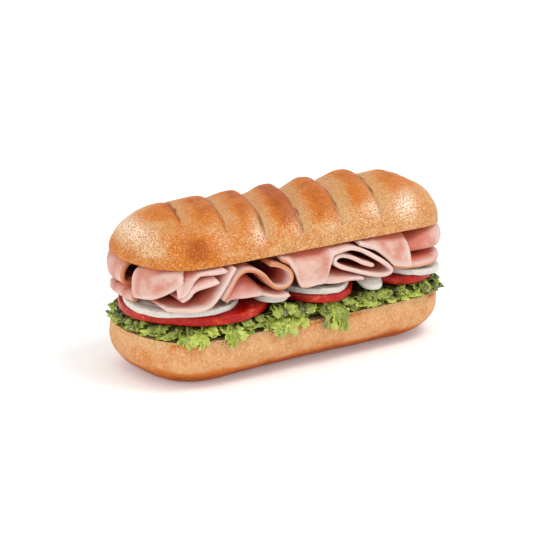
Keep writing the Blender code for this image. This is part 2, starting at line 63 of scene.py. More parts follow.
# The roll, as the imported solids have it
ROLL_LENGTH = 151.0
ROLL_WIDTH = 66.0
LOWER_HEIGHT = 20.5
EDGE_DROP = 0.9  # how far the wall of the lower half ends below its cut
WALL_BULGE = 0.7
OUTLINE_POWER = 8.4  # of the reach in the plan outline
ROUND_POWER = 2.6  # of the superellipse round each end
CUT_REACH = 0.985  # share of the half width that the flat of the lower half takes
BOTTOM_DEPTH = 1.08  # depth of the bowl as a share of the height, cut off flat by the table
BOTTOM_FULLER = 0.1  # how much deeper it is at the -X end
UPPER_CUT = 54.4  # height of the upper half's cut before it settles
UPPER_DOME = 17.6
SAG = 2.6  # how far the layers settle at the rim, and how much further at the two ends
END_SAG = 1.6
SAG_START = 20.8  # the heights between which the sag sets in
SAG_FULL = 30.0
CREASES = (-51.5, -32.5, -14.6, 4.6, 24.6, 45.4)  # where the scores cross the middle line
CREASE_DEPTHS = (1.3, 2.2, 3.0, 3.6, 3.4, 3.0)
CREASE_REACH = (0.25, 0.5, 1.0, 1.0, 1.0, 0.8)  # share of its depth that a score keeps low on the side
CREASE_SLANT = 0.43  # how far a score runs along X for each millimetre across
CREST = 0.68  # share of a lobe at which it is highest
LIP_POWER = 2.4  # of the fall from there
DOME_POWER = 2.35
LOBE_BOUNDS = (-ROLL_LENGTH / 2 - 6, *CREASES, ROLL_LENGTH / 2 - 8)
CROWN_RISE = (0.9, 2.6)  # how much higher the dome is towards +X, and towards both ends
ROUNDING = 0.5  # how much the dome's power falls at the -X end

# The fillings
FILLING_LENGTH = 153.0
HAM_THICK = 1.9
HAM_ROW = 0.55  # distance between two rows of points along a slice
HAM_LEAST_ROWS = 30
DRAPE_START = 0.7  # share of the way out from which the edge of a slice hangs
LEAF_THICK = 0.45
LETTUCE_TOP = 28.0
INNER_TOP = 29.4
SHRED_GRID = (17, 8)  # points along and across a shred
TOMATO_LEVELS = (29.9, 33.3)
ONION_LEVELS = (33.7, 36.2)
# Each slice: its centre and its half sizes, along X and along Y
TOMATOES = (
    (-43.2, -0.6, 31.0, 33.2),
    (5.0, -15.5, 18.6, 18.6),
    (49.6, -2.4, 24.6, 29.4),
    (8.0, 18.0, 14.2, 14.2),
)
ONIONS = (
    (-52.0, -3.8, 22.6, 27.0),
    (-21.5, -23.2, 8.4, 8.8),
    (4.0, -16.8, 16.8, 17.4),
    (28.0, -25.6, 6.0, 8.2),
    (54.8, -6.6, 18.8, 27.4),
    (-20.0, 14.5, 12.4, 14.5),
    (9.0, 17.6, 12.8, 13.6),
)
ONION_DROPS = (0.0, 0.0, 0.0, 2.6, 0.0, 0.0, 0.0)

# Ham slices: the path of a slice as x, height, how far its edge hangs, how far it stands out of the wall
HAM = (
    (
        (-65.4, 41.3, 0, -1), (-63.2, 43.4, 0, 0), (-62.0, 46.2, 0.4, 0.6), (-59.8, 48.4, 1.2, 1),
        (-56.4, 49.8, 2.0, 1), (-52.2, 50.2, 2.0, 1),
    ),
    (
        (-70.4, 38.5, 0, -0.5), (-66.0, 38.2, 0, 0), (-60.5, 38.4, 0.3, 0.6), (-56.0, 39.6, 0.3, 1.6),
        (-52.4, 42.6, 0, 2), (-50.0, 46.6, 0, 2), (-47.6, 50.4, 0, 1.6), (-44.4, 53.0, 0, 1),
    ),
    (
        (-67.0, 50.8, 7.6, -1.6), (-64.4, 51.3, 7.6, -1.3), (-62.2, 51.7, 4.4, -0.9), (-59.6, 52.0, 0.4, 0),
        (-57.0, 52.7, 0.6, 0.4), (-53.0, 53.0, 0.8, 0.8), (-48.8, 53.0, 0.4, 1),
    ),
    (
        (-50.2, 40.4, 0, 1.6), (-48.0, 44.8, 0, 2), (-44.8, 48.6, 0, 2), (-40.4, 50.9, 0, 2),
        (-35.6, 50.5, 0, 2), (-31.6, 48.0, 0, 2), (-28.4, 44.6, 0, 2), (-24.8, 41.6, 0, 2),
        (-20.4, 41.1, 0, 2), (-17.9, 43.6, 0, 2), (-18.2, 47.2, 0, 2), (-21.6, 49.8, 0, 1.6),
        (-27.0, 51.2, 0, 1),
    ),
    (
        (-47.4, 39.0, 0.6, -1), (-45.0, 42.2, 3.4, -1.2), (-42.2, 45.2, 6.4, -1.2), (-39.4, 46.9, 8.2, -1.2),
        (-36.0, 46.5, 7.8, -1.2), (-33.0, 44.2, 5.6, -1), (-30.0, 41.0, 2.6, -0.4), (-27.0, 39.0, 1.4, 0.6),
        (-23.0, 38.2, 1.4, 1.4), (-18.6, 38.4, 1.0, 1.6),
    ),
    (
        (-21.5, 53.0, 0.4, 1.4), (-18.4, 53.1, 3.0, 1.4), (-15.6, 53.1, 7.0, 1.4), (-13.4, 53.1, 12.4, 1.4),
        (-11.4, 53.1, 13.8, 1.4), (-5.0, 53.1, 13.8, 1.4), (0.0, 53.0, 13.6, 1.4), (2.4, 53.0, 8.0, 1.4),
        (4.8, 52.9, 3.0, 1.4), (12.0, 52.4, 0.4, 1.4), (19.0, 50.2, 0, 2), (27.0, 45.8, 0, 2.4),
        (33.6, 41.6, 0.5, 2.4), (35.4, 39.4, 1, 2.4), (31.4, 38.4, 1, 2), (20.0, 40.4, 0, 2),
        (11.0, 43.6, 0, 1.6), (6.2, 46.1, 0, 1), (5.6, 48.0, 0, 1), (9.0, 49.0, 0, 1), (14.4, 47.6, 0, 1.4),
        (20.0, 44.8, 0, 1.4), (26.0, 42.4, 0, 1.4),
    ),
    (
        (18.6, 53.2, 0.4, 1), (24.0, 53.1, 2.6, 1), (29.0, 53.1, 5.8, 1.2), (34.0, 53.1, 9.8, 1.4),
        (37.4, 53.0, 12.4, 1.6), (45.6, 52.6, 13.2, 1.6),
    ),
    (
        (38.0, 40.2, 1.0, -1), (45.0, 40.0, 2.2, -0.4), (52.0, 40.0, 2.6, 1), (59.0, 40.4, 2.2, 1.2),
        (65.0, 40.8, 1.4, 0.8), (72.0, 40.6, 0.8, 0),
    ),
    (
        (-9.6, 46.0, 5.0, -1), (-5.0, 44.4, 5.2, -1), (1.0, 42.8, 4.6, -0.8), (8.0, 41.2, 3.2, 1),
        (20.4, 38.0, 0.2, 1.4),
    ),
)
# Ham folded round the ends: first and last bearing round the roll in degrees, from 0 at +X by way of 90 at
# the back, then at the last edge how far the lower border rises and how far the fold tucks in, then the
# section as out of the wall and height
BACK_FOLD = (
    (-9, 53.0), (-3, 52.8), (-0.6, 50.8), (0.2, 47.8), (-0.6, 45.0), (-4, 43.8), (-8, 43.4), (-11, 41.8),
)
HAM_WRAPS = (
    (131.5, 176, 0.0, 0.0, BACK_FOLD),
    (193, 229, 9.0, 0.0, ((-6, 52.8), (-3, 52.6), (-0.4, 50.8), (0.6, 47.6), (0.6, 44.0), (-0.2, 40.6))),
    (-4, -65.5, 0.0, 3.8, BACK_FOLD),
    (4, 60.5, 0.0, 0.0, BACK_FOLD),
    (150, 190, 0.0, 0.0, ((-7, 41.1), (-3, 41.2), (-0.9, 40.6), (-0.5, 39.5), (-1.5, 38.4), (-3.0, 38.4))),
)
WRAP_TOP = 52.8
TUCK_START = 0.72  # share of a fold's way round from which it tucks in
TUCK_DROP = 1.15  # how far the top of a tucked fold comes down for each millimetre that it goes in

# Heaped shreds where no tomato lies at the front rim: x, height
HEAPS = ((-22.0, 32.4), (-17.2, 33.0), (-12.4, 32.2), (22.5, 30.2), (27.5, 30.6), (32.5, 30.2))
# Shreds that hang over the rim: x, side of the roll (-1 is the front), height of the lower end, width
CLUMPS = (
    (-65.4, -1, 18.6, 5.4), (-61.6, -1, 18.2, 5.0), (-46.0, -1, 17.2, 6.6), (-24.0, -1, 17.0, 6.6),
    (-14.6, -1, 16.8, 6.0), (3.4, -1, 15.4, 5.4), (7.6, -1, 13.8, 5.0),
    (-52.0, 1, 17.4, 7.6), (-19.0, 1, 16.2, 8.0), (13.0, 1, 17.4, 6.6), (46.0, 1, 16.8, 7.4),
)

# Each lobe of the upper crust from -X to +X: how browned it is, how strong its painted highlight is, and
# where along it
LOBE_BAKE = (0.8, 0.8, 0.76, 1.0, 0.78, 0.62, 0.62)
BAKE_FROM = (0.72, 0.7, 0.64, 0.44, 0.44, 0.52, 0.66)  # share of the dome from which each lobe is browned
LOBE_SHINE = (1.4, 0.3, 1.0, 0.4, 0.35, 0.85, 1.7)
SHINE_AT = (0.32, 0.8, 0.84, 0.84, 0.84, 0.82, 0.6)
STAIN_AT = (-59.0, 8.0)  # a browner stain low on the front: its middle and its reach along X
SCORE_SPREADS = (0.16, 0.3, 0.4, 0.36, 0.3, 0.42, 0.36)  # share of each lobe that its pale score takes
# How browned the edges of each ham slice at the walls are, then its first and last edges, and the share of
# its length over which the edges at the walls are browned in full
HAM_RIMS = (
    (0.1, 0.1, 1.0), (0.15, 0.1, 1.0), (0.15, 0.1, 1.0), (1.0, 0.7, 1.0), (0.2, 0.1, 1.0), (1.0, 0.5, 0.11),
    (0.1, 0.15, 1.0), (1.2, 1.4, 1.0), (0.4, 0.2, 1.0), (0.3, 1.6, 1.0), (0.1, 0.1, 1.0), (0.1, 0.15, 1.0),
    (0.3, 0.3, 1.0), (0.8, 0.6, 1.0),
)

LETTUCE_SEED = 11
END_COSINE = 0.85  # a bearing whose cosine is past this lies at an end of the roll

# The camera, in pixels of the square image
IMAGE_SIZE = 554
FOCAL_LENGTH = 2045.0
SENSOR_WIDTH = 36.0


def rgb(red, green, blue):
    """Scene-linear colour of a display colour given from 0 to 255."""
    parts = np.array([red, green, blue]) / 255
    low, high = parts / 12.92, ((parts + 0.055) / 1.055) ** 2.4
    return tuple(np.where(parts <= 0.04045, low, high).tolist())


# Colours that lie over those of the settings
PALE_GOLD = rgb(216, 168, 114)
PALE_PEACH = rgb(226, 176, 128)
PALE_GRIT = rgb(238, 180, 116)
DARK_GRIT = rgb(166, 88, 34)
# Painted shadow in the creases
CREASE_SHADOW = rgb(104, 56, 26)
UPPER_CRUMB = rgb(240, 218, 178)
LOWER_CRUMB = rgb(222, 176, 124)
# Painted highlight colour
PAINTED_GLINT = rgb(250, 228, 204)
# Pale specks, partly flour and partly painted glint
FLOUR_AND_GLINT = rgb(246, 222, 186)
FRECKLE = rgb(160, 92, 40)
TOMATO_ORANGE = rgb(202, 52, 20)
TOMATO_DARK = rgb(122, 10, 8)
# Pale flecks, partly paler flesh and partly painted wet highlight
TOMATO_PALE_AND_SHEEN = rgb(218, 104, 80)
ONION_WHITE = rgb(214, 208, 198)
ONION_RING = rgb(180, 176, 162)
ONION_CLOUD = rgb(182, 170, 158)
ONION_VEIN = rgb(232, 228, 220)
HAM_ROSY = rgb(198, 124, 102)
HAM_FIBRE = rgb(232, 196, 178)
HAM_FLECK = rgb(196, 104, 92)
HAM_RIM = rgb(226, 202, 192)
# Painted shade, redder and darker deeper inside the folds
HAM_FOLD_SHADE = rgb(206, 104, 82)
HAM_DEEP_SHADE = rgb(160, 50, 34)
HAM_BROWNED = rgb(200, 118, 58)
# Darkest leaf colour, which also serves as painted shade deep under the roll
LEAF_SHADE = rgb(56, 64, 18)
LEAF_GREEN = rgb(112, 126, 38)
LEAF_PALE = rgb(192, 204, 92)
LEAF_RIB = rgb(216, 220, 146)
LEAF_VEIN = rgb(204, 210, 118)


# Numbers and surfaces

def smooth(value):
    """Eased step: 0 below 0, 1 above 1, and 3t^2 - 2t^3 between."""
    t = np.clip(value, 0.0, 1.0)
    return t * t * (3 - 2 * t)


def lattice(cell, seed):
    """A repeatable number from -1 to 1 for each lattice point: twice the fraction of a large sine, less 1."""
    wave = np.sin(cell @ np.array([127.1, 311.7, 74.7]) + 53.3 * seed) * 43758.5453
    return 2 * (wave - np.floor(wave)) - 1


def noise(points, size, seed=0):
    """Value noise: the numbers at the eight corners of a cell, blended by an eased step each way."""
    place = np.asarray(points) / size
    cell = np.floor(place)
    share = smooth(place - cell)
    total = 0.0
    for corner in itertools.product((0, 1), repeat=3):
        weight = np.prod(np.where(np.array(corner) == 1, share, 1 - share), axis=-1)
        total = total + weight * lattice(cell + np.array(corner), seed)
    return total


def layered(points, size, octaves, seed=0):
    """A sum of value noises, each of half the size and half the height of the one before."""
    return sum(noise(points, size / 2**k, seed + k) / 2**k for k in range(octaves))


def half_width(x, length=ROLL_LENGTH):
    """Half width of the plan outline at x: the square root of 1 less a high power of the reach."""
    reach = np.clip(np.abs(2 * np.asarray(x, float) / length), 0, 1)
    return ROLL_WIDTH / 2 * np.sqrt(1 - reach**OUTLINE_POWER)


def outward(x, y):
    """How far out a point lies, 0 on the centre line and 1 on the outline: a superellipse round each end."""
    straight = (ROLL_LENGTH - ROLL_WIDTH) / 2
    along = np.clip(np.abs(x) - straight, 0, None) / (ROLL_LENGTH / 2 - straight)
    across = np.abs(y / (ROLL_WIDTH / 2))
    return (along**ROUND_POWER + across**ROUND_POWER) ** (1 / ROUND_POWER)


def settle(points):
    """Design heights less the sag, which grows with the square of how far out the point lies."""
    x, y, z = np.moveaxis(np.asarray(points, float), -1, 0)
    share = np.clip((z - SAG_START) / (SAG_FULL - SAG_START), 0, 1)
    drop = SAG + END_SAG * np.clip(np.abs(2 * x / ROLL_LENGTH), 0, 1) ** 4
    return np.stack([x, y, z - drop * np.clip(outward(x, y), 0, 1.08) ** 2 * share], axis=-1)


def spline(rows, count):
    """Catmull-Rom curve through the rows, with its points spread evenly along its length."""
    rows = np.asarray(rows, float)
    ends = np.vstack([2 * rows[0] - rows[1], rows, 2 * rows[-1] - rows[-2]])
    t = np.linspace(0, len(rows) - 1, 24 * len(rows))
    k = np.minimum(t.astype(int), len(rows) - 2)
    f = (t - k)[:, None]
    a, b, c, d = ends[k], ends[k + 1], ends[k + 2], ends[k + 3]
    fine = 0.5 * (2 * b + (c - a) * f + (2 * a - 5 * b + 4 * c - d) * f**2 + (3 * b - a - 3 * c + d) * f**3)
    run = np.concatenate([[0], np.cumsum(np.hypot(*np.diff(fine[:, :2], axis=0).T))])
    even = np.linspace(0, run[-1], count)
    return np.stack([np.interp(even, run, column) for column in fine.T], axis=-1)


def rim_point(turn, out):
    """Point and outward direction on the roll's outline at a bearing, `out` millimetres beyond it."""
    c, s = np.cos(turn), np.sin(turn)
    half, side = ROLL_LENGTH / 2, ROLL_WIDTH / 2
    rho = (np.abs(c) ** ROUND_POWER + np.abs(s) ** ROUND_POWER) ** (-1 / ROUND_POWER)
    x = (half - side) * np.sign(c) * np.minimum(1, np.abs(c) * 1.6) + side * rho * c
    x = np.clip(x, -half, half)
    base = np.stack([x, np.sign(s) * half_width(x)], -1)
    steep = OUTLINE_POWER / half * np.abs(x / half) ** (OUTLINE_POWER - 1)
    slope = np.stack([np.sign(c) * steep, 2 * base[..., 1] / side**2], -1)
    slope = slope / np.linalg.norm(slope, axis=-1, keepdims=True)
    return base + slope * np.asarray(out)[..., None], slope


def bearings(shares):
    """Bearings of the points that lie these shares of the way round the outline."""
    turns = np.linspace(0, 2 * math.pi, 1441)
    place, _ = rim_point(turns, np.zeros(len(turns)))
    run = np.concatenate([[0], np.cumsum(np.hypot(*np.diff(place, axis=0).T))])
    return np.interp(np.asarray(shares) % 1 * run[-1], run, turns)


def bearing_of(x, side):
    """Bearing of the point of the outline that lies at x, on the front (-1) or the back (1)."""
    turns = np.linspace(math.pi, 2 * math.pi, 721)
    place, _ = rim_point(turns, np.zeros(len(turns)))
    return -side * float(np.interp(x, place[:, 0], turns))


def normals(grid):
    """Unit normals of a grid of points: the cross product of its slopes along rows and columns."""
    across = np.cross(np.gradient(grid, axis=0), np.gradient(grid, axis=1))
    return across / np.maximum(np.linalg.norm(across, axis=-1, keepdims=True), 1e-9)


def grid_faces(rows, columns, start=0, wrap=False, flip=False):
    """Two triangles for each cell of a grid of points stored row by row."""
    across = columns if wrap else columns - 1
    i, j = np.meshgrid(np.arange(rows - 1), np.arange(across), indexing="ij")
    a = start + i * columns + j
    b = start + i * columns + (j + 1) % columns
    c, d = b + columns, a + columns
    faces = np.concatenate([np.stack([a, b, c], -1).reshape(-1, 3), np.stack([a, c, d], -1).reshape(-1, 3)])
    return faces[:, ::-1] if flip else faces


def loft(sections, ends):
    """Closed skin over a row of closed sections, drawn together in a point at either end."""
    rows, columns = sections.shape[:2]
    points = np.concatenate([sections.reshape(-1, 3), ends])
    ring = np.arange(columns)
    following = (ring + 1) % columns
    last = (rows - 1) * columns
    first_cap = np.stack([following, ring, np.full(columns, rows * columns)], -1)
    last_cap = np.stack([last + ring, last + following, np.full(columns, rows * columns + 1)], -1)
    return points, np.concatenate([grid_faces(rows, columns, wrap=True), first_cap, last_cap])


def sheet(middle, thickness):
    """A grid of points made a thin solid: both faces stand half the thickness off along the normal."""
    rows, columns = middle.shape[:2]
    half = normals(middle) * np.broadcast_to(thickness, (rows, columns))[..., None] / 2
    points = np.concatenate([(middle + half).reshape(-1, 3), (middle - half).reshape(-1, 3)])
    size = rows * columns
    index = np.arange(size).reshape(rows, columns)
    rim = np.concatenate([index[0, :-1], index[:-1, -1], index[-1, :0:-1], index[:0:-1, 0]])
    following = np.roll(rim, -1)
    sides = np.concatenate([
        np.stack([rim, rim + size, following + size], -1),
        np.stack([rim, following + size, following], -1),
    ])
    front, back = grid_faces(rows, columns), grid_faces(rows, columns, size, flip=True)
    return points, np.concatenate([front, back, sides])


def faced_out(points, faces):
    """The faces turned so that the solid's signed volume, the sum of its corner determinants, is positive."""
    corners = points[faces]
    volume = np.einsum("ij,ij->i", corners[:, 0], np.cross(corners[:, 1], corners[:, 2])).sum()
    return faces if volume > 0 else faces[:, ::-1]


def joined(shells):
    """Several solids in one: their points one after another, and their marks with them."""
    points, faces, marks, start = [], [], {}, 0
    for shell_points, shell_faces, shell_marks in shells:
        points.append(shell_points)
        faces.append(faced_out(shell_points, shell_faces) + start)
        start += len(shell_points)
        for name, values in shell_marks.items():
            marks.setdefault(name, []).append(np.broadcast_to(values, len(shell_points)))
    marks = {name: np.concatenate(parts) for name, parts in marks.items()}
    return np.concatenate(points), np.concatenate(faces), marks


def plan_shift():
    """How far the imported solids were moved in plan, from the middle of the upper roll's box."""
    low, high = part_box("bun_top")
    return np.array([(low.x + high.x) / 2, (low.y + high.y) / 2, 0.0]) / MM


SHIFT = plan_shift()


def put_piece(name, points, faces, marks, material, nodes, sharp=60):
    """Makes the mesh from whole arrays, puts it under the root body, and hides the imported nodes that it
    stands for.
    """
    faces = faced_out(points, faces)
    mesh = bpy.data.meshes.new(name)
    mesh.vertices.add(len(points))
    mesh.vertices.foreach_set("co", ((points + SHIFT) * MM).astype(np.float32).ravel())
    mesh.loops.add(faces.size)
    mesh.loops.foreach_set("vertex_index", faces.astype(np.int32).ravel())
    mesh.polygons.add(len(faces))
    mesh.polygons.foreach_set("loop_start", np.arange(0, faces.size, 3, dtype=np.int32))
    for mark, values in marks.items():
        layer = mesh.attributes.new(mark, "FLOAT", "POINT")
        layer.data.foreach_set("value", np.asarray(values, np.float32).ravel())
    mesh.update()
    mesh.validate()
    mesh.shade_smooth()
    mesh.set_sharp_from_angle(angle=math.radians(sharp))
    mesh.materials.append(material)
    piece = bpy.data.objects.new(name, mesh)
    bpy.context.scene.collection.objects.link(piece)
    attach(piece, "root")
    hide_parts(*nodes)


# Shader maths

class Wire:
    """A socket in a material; sums, differences and products with it add Math nodes there."""

    def __init__(self, finish, socket):
        self.finish = finish
        self.socket = socket

    def math(self, operation, *values, clamp=False):
        node = self.finish.tree.nodes.new("ShaderNodeMath")
        node.operation = operation
        node.use_clamp = clamp
        for socket, value in zip(node.inputs, values):
            self.finish.put(socket, value)
        return Wire(self.finish, node.outputs[0])

    def __add__(self, other):
        return self.math("ADD", self, other)

    __radd__ = __add__

    def __mul__(self, other):
        return self.math("MULTIPLY", self, other)

    __rmul__ = __mul__

    def __sub__(self, other):
        return self.math("SUBTRACT", self, other)

    def __rsub__(self, other):
        return self.math("SUBTRACT", other, self)

    def clamped(self):
        return self.math("ADD", self, 0.0, clamp=True)

    def step(self, low, high):
        """0 at `low` and beyond, 1 at `high` and beyond, eased between; either may be the greater."""
        settings = {"interpolation_type": "SMOOTHSTEP"}
        return self.finish.node("ShaderNodeMapRange", settings, {0: self, 1: low, 2: high, 3: 0.0, 4: 1.0})


class Finish:
    """A material in the making, with the nodes that its maker asks for."""

    def __init__(self, name):
        self.material = bpy.data.materials.new(name)
        self.material.use_nodes = True
        self.tree = self.material.node_tree
        self.shader = self.tree.nodes["Principled BSDF"]
        self.place = self.node("ShaderNodeTexCoord", {}, {}, "Object")

    def put(self, socket, value):
        if isinstance(value, Wire):
            self.tree.links.new(value.socket, socket)
        elif socket.type == "RGBA":
            socket.default_value = (*value, 1.0)
        else:
            socket.default_value = value

    def node(self, kind, settings, sockets, out=0):
        """One node of any kind: its settings first, then the values or links of its sockets."""
        node = self.tree.nodes.new(kind)
        for name, value in settings.items():
            setattr(node, name, value)
        for name, value in sockets.items():
            self.put(node.inputs[name], value)
        return Wire(self, node.outputs[out])

    def mark(self, name):
        return self.node("ShaderNodeAttribute", {"attribute_name": name}, {}, "Fac")

    def grain(self, size, detail=3.0, roughness=0.55, stretch=None, offset=0.0):
        """Noise from 0 to 1 with features of this size in millimetres, stretched by a Mapping node."""
        place = self.place
        if stretch or offset:
            place = self.node("ShaderNodeMapping", {}, {
                "Vector": place, "Location": (offset, offset, offset), "Scale": stretch or (1.0, 1.0, 1.0),
            })
        sockets = {"Vector": place, "Scale": 1000.0 / size, "Detail": detail, "Roughness": roughness}
        return self.node("ShaderNodeTexNoise", {}, sockets, "Fac")

    def cells(self, size, feature="F1"):
        sockets = {"Vector": self.place, "Scale": 1000.0 / size}
        return self.node("ShaderNodeTexVoronoi", {"feature": feature}, sockets, "Distance")

    def blend(self, share, first, second):
        """Colour between two colours, `share` of the way to the second."""
        return self.node("ShaderNodeMix", {"data_type": "RGBA"}, {0: share, 6: first, 7: second}, 2)

    def painted(self, colour, *layers):
        """A colour with others laid over it one after another, each given as its share and its colour."""
        for share, over in layers:
            colour = self.blend(share, colour, over)
        return colour

    def bump(self, height, distance, under=None):
        """Normal of a surface raised by `height` times `distance` millimetres."""
        sockets = {"Height": height, "Distance": distance * MM, "Strength": 1.0}
        if under:
            sockets["Normal"] = under
        return self.node("ShaderNodeBump", {}, sockets)

    def done(self, **sockets):
        """Puts the values on the shader's sockets, whose names are given with _ for each space."""
        for name, value in sockets.items():
            self.put(self.shader.inputs[name.replace("_", " ")], value)
        return self.material


# The settings that a user would change

class RollSettings(bpy.types.PropertyGroup):
    gold: FloatVectorProperty(
        name="Crust", description="Crust on the lower slopes", subtype="COLOR", size=3, min=0, max=1,
        default=rgb(200, 140, 82))
    brown: FloatVectorProperty(
        name="Crests", description="Browned crests of the lobes", subtype="COLOR", size=3, min=0, max=1,
        default=rgb(200, 112, 32))
    dark: FloatVectorProperty(
        name="Darkest crests", description="Most browned crust", subtype="COLOR", size=3, min=0, max=1,
        default=rgb(164, 74, 16))
    pale: FloatVectorProperty(
        name="Scores", description="Paler dough in the scores", subtype="COLOR", size=3, min=0, max=1,
        default=rgb(202, 158, 112))
    peach: FloatVectorProperty(
        name="Lower crust", description="Crust of the lower half", subtype="COLOR", size=3, min=0, max=1,
        default=rgb(212, 154, 102))
    relief: FloatProperty(
        name="Relief", description="Height of the crust's unevenness", unit="LENGTH", min=0, max=0.001,
        default=0.0003)


class FillingSettings(bpy.types.PropertyGroup):
    shreds: IntProperty(
        name="Lettuce shreds", description="Shreds round the rim", min=20, max=140, default=116)
    scraps: IntProperty(
        name="Lettuce scraps", description="Narrow shreds round the rim", min=0, max=120, default=84)
    frill: FloatProperty(
        name="Frill", description="Height of the frill along a shred", unit="LENGTH", min=0, max=0.003,
        default=0.0011)
    leaf: FloatVectorProperty(
        name="Lettuce", description="Leaf", subtype="COLOR", size=3, min=0, max=1, default=rgb(148, 162, 56))
    flesh: FloatVectorProperty(
        name="Tomato", description="Skin and flesh", subtype="COLOR", size=3, min=0, max=1,
        default=rgb(172, 18, 6))
    ham: FloatVectorProperty(
        name="Ham", description="Meat", subtype="COLOR", size=3, min=0, max=1, default=rgb(214, 174, 160))
    ruffle: FloatProperty(
        name="Ruffle", description="How far the edge of a ham slice waves", unit="LENGTH", min=0, max=0.002,
        default=0.0006)


class StageSettings(bpy.types.PropertyGroup):
    azimuth: FloatProperty(
        name="Azimuth", description="Camera's bearing, from the front", subtype="ANGLE",
        default=math.radians(-36))
    elevation: FloatProperty(
        name="Elevation", description="Camera's height above the horizon", subtype="ANGLE",
        default=math.radians(16))
    distance: FloatProperty(
        name="Distance", description="Camera to its target", unit="LENGTH", min=0.2, max=3, default=0.875)
    target: FloatProperty(
        name="Target height", description="Height that the camera looks at", unit="LENGTH", default=0.031)
    key: FloatProperty(
        name="Key light", description="Power of the main light", unit="POWER", min=0, default=2.6)
    fill: FloatProperty(
        name="Fill light", description="Power of the side light", unit="POWER", min=0, default=1.6)
    glow: FloatProperty(
        name="Floor glow", description="How much the lit table glows", min=0, max=1, default=0.16)
    sky: FloatProperty(
        name="Surroundings", description="Strength of the even light", min=0, max=3, default=0.9)


# The roll

def with_tips(marks):
    """Each mark of a loft laid out flat, then its mean over the first and last sections for the two tips."""
    return {
        name: np.append(values.ravel(), [values[0].mean(), values[-1].mean()])
        for name, values in marks.items()
    }


def crust_finish(name, settings, lower):
    """Crust: tan to brown by the bake mark, greyer by the score mark and darker past 1 as painted crease
    shadow, freckled, with painted glints and specks of flour and painted glint.
    """
    f = Finish(name)
    stain = f.grain(15.0, 3.0, offset=0.21)
    blotch = f.grain(5.5, 4.0, 0.6)
    fine = f.grain(1.9, 3.0, 0.65)
    speck = f.grain(0.62, 2.0, 0.6, offset=0.37)
    bake = f.mark("bake") + (stain - 0.5) * 0.7 + (blotch - 0.5) * 0.7 + (fine - 0.5) * 0.5
    grit = f.grain(0.95, 3.0, 0.7, offset=0.53)
    score_and_crease_shadow, crumb, shine, flour_and_glint = (f.mark(name) for name in ("score_and_crease_shadow", "crumb", "shine", "flour_and_glint"))
    gritty, freckled = (0.22, 0.35) if lower else (0.42, 0.6)
    tone = f.painted(
        settings.peach if lower else settings.gold,
        (blotch.step(0.62, 0.38) * 0.5, PALE_PEACH if lower else PALE_GOLD),
        (bake.step(0.02, 0.6), settings.brown),
        (bake.step(0.62, 1.25), settings.dark),
        ((score_and_crease_shadow * (0.65 + fine * 0.6)).clamped(), settings.pale),
        (grit.step(0.5, 0.66) * (1.0 - bake.step(0.2, 1.0) * 0.65) * gritty, PALE_GRIT),
        (grit.step(0.5, 0.34) * gritty, DARK_GRIT),
        # Painted crease shadow, where the score mark passes 1
        ((score_and_crease_shadow - 1.0).clamped() * 0.65, CREASE_SHADOW),
        (crumb, LOWER_CRUMB if lower else UPPER_CRUMB),
        # Painted highlight: pale glint specks where the shine mark lies
        ((speck.step(0.4, 0.6) * shine * 0.85).clamped(), PAINTED_GLINT),
        # Pale specks of flour and of painted glint
        (speck.step(0.54, 0.68) * flour_and_glint * 0.6, FLOUR_AND_GLINT),
        (speck.step(0.45, 0.3) * freckled, FRECKLE),
    )
    pits = (1.0 - f.cells(1.1)).step(0.35, 0.95)
    skin = f.bump(f.grain(3.2, 4.0, 0.6), 0.5)
    skin = f.bump(fine * 0.7 + grit * 0.6, 0.12 if lower else 0.42, skin)
    skin = f.bump(pits * (crumb * 0.9 + 0.04), 0.6, skin)
    rough = 0.44 + (fine - 0.5) * 0.3 + crumb * 0.35 + score_and_crease_shadow * 0.12 - shine * 0.12
    return f.done(Base_Color=tone, Roughness=rough, Normal=skin, Specular_IOR_Level=0.05)


def lobe_marks(x, y, dome):
    """Depth below the dome, share of the way along the lobe, the lobe's number, and its two scores' reach."""
    along = x - CREASE_SLANT * y
    bounds = np.array(LOBE_BOUNDS)
    depths = np.array([0.0, *CREASE_DEPTHS, 0.0])
    reaches = np.array([1.0, *CREASE_REACH, 1.0])
    near_top = smooth((dome - 0.72) / 0.26)
    k = np.clip(np.searchsorted(bounds, along) - 1, 0, len(bounds) - 2)
    share = (along - bounds[k]) / (bounds[k + 1] - bounds[k])
    rise = smooth(share / CREST)
    fall = np.clip((share - CREST) / (1 - CREST), 0, 1) ** LIP_POWER
    left = reaches[k] + (1 - reaches[k]) * near_top
    right = reaches[k + 1] + (1 - reaches[k + 1]) * near_top
    depth = np.where(share < CREST, depths[k] * left * (1 - rise), depths[k + 1] * right * fall)
    return depth, share, k, left, right


def upper_surface(x, y):
    """Height of the upper crust: the rim, plus the crown times a superellipse dome, less the scores."""
    reach = np.clip(x / (ROLL_LENGTH / 2), -1, 1)
    power = DOME_POWER - ROUNDING * smooth((-reach - 0.45) / 0.55)
    dome = np.clip(1 - outward(x, y) ** power, 0, 1) ** (1 / power)
    crown = UPPER_DOME + CROWN_RISE[0] * reach + CROWN_RISE[1] * reach**2
    rim = UPPER_CUT - SAG - END_SAG * np.clip(np.abs(2 * x / ROLL_LENGTH), 0, 1) ** 4
    depth, *lobe = lobe_marks(x, y, dome)
    return rim + crown * dome - depth * smooth((dome - 0.24) / 0.4), dome, *lobe


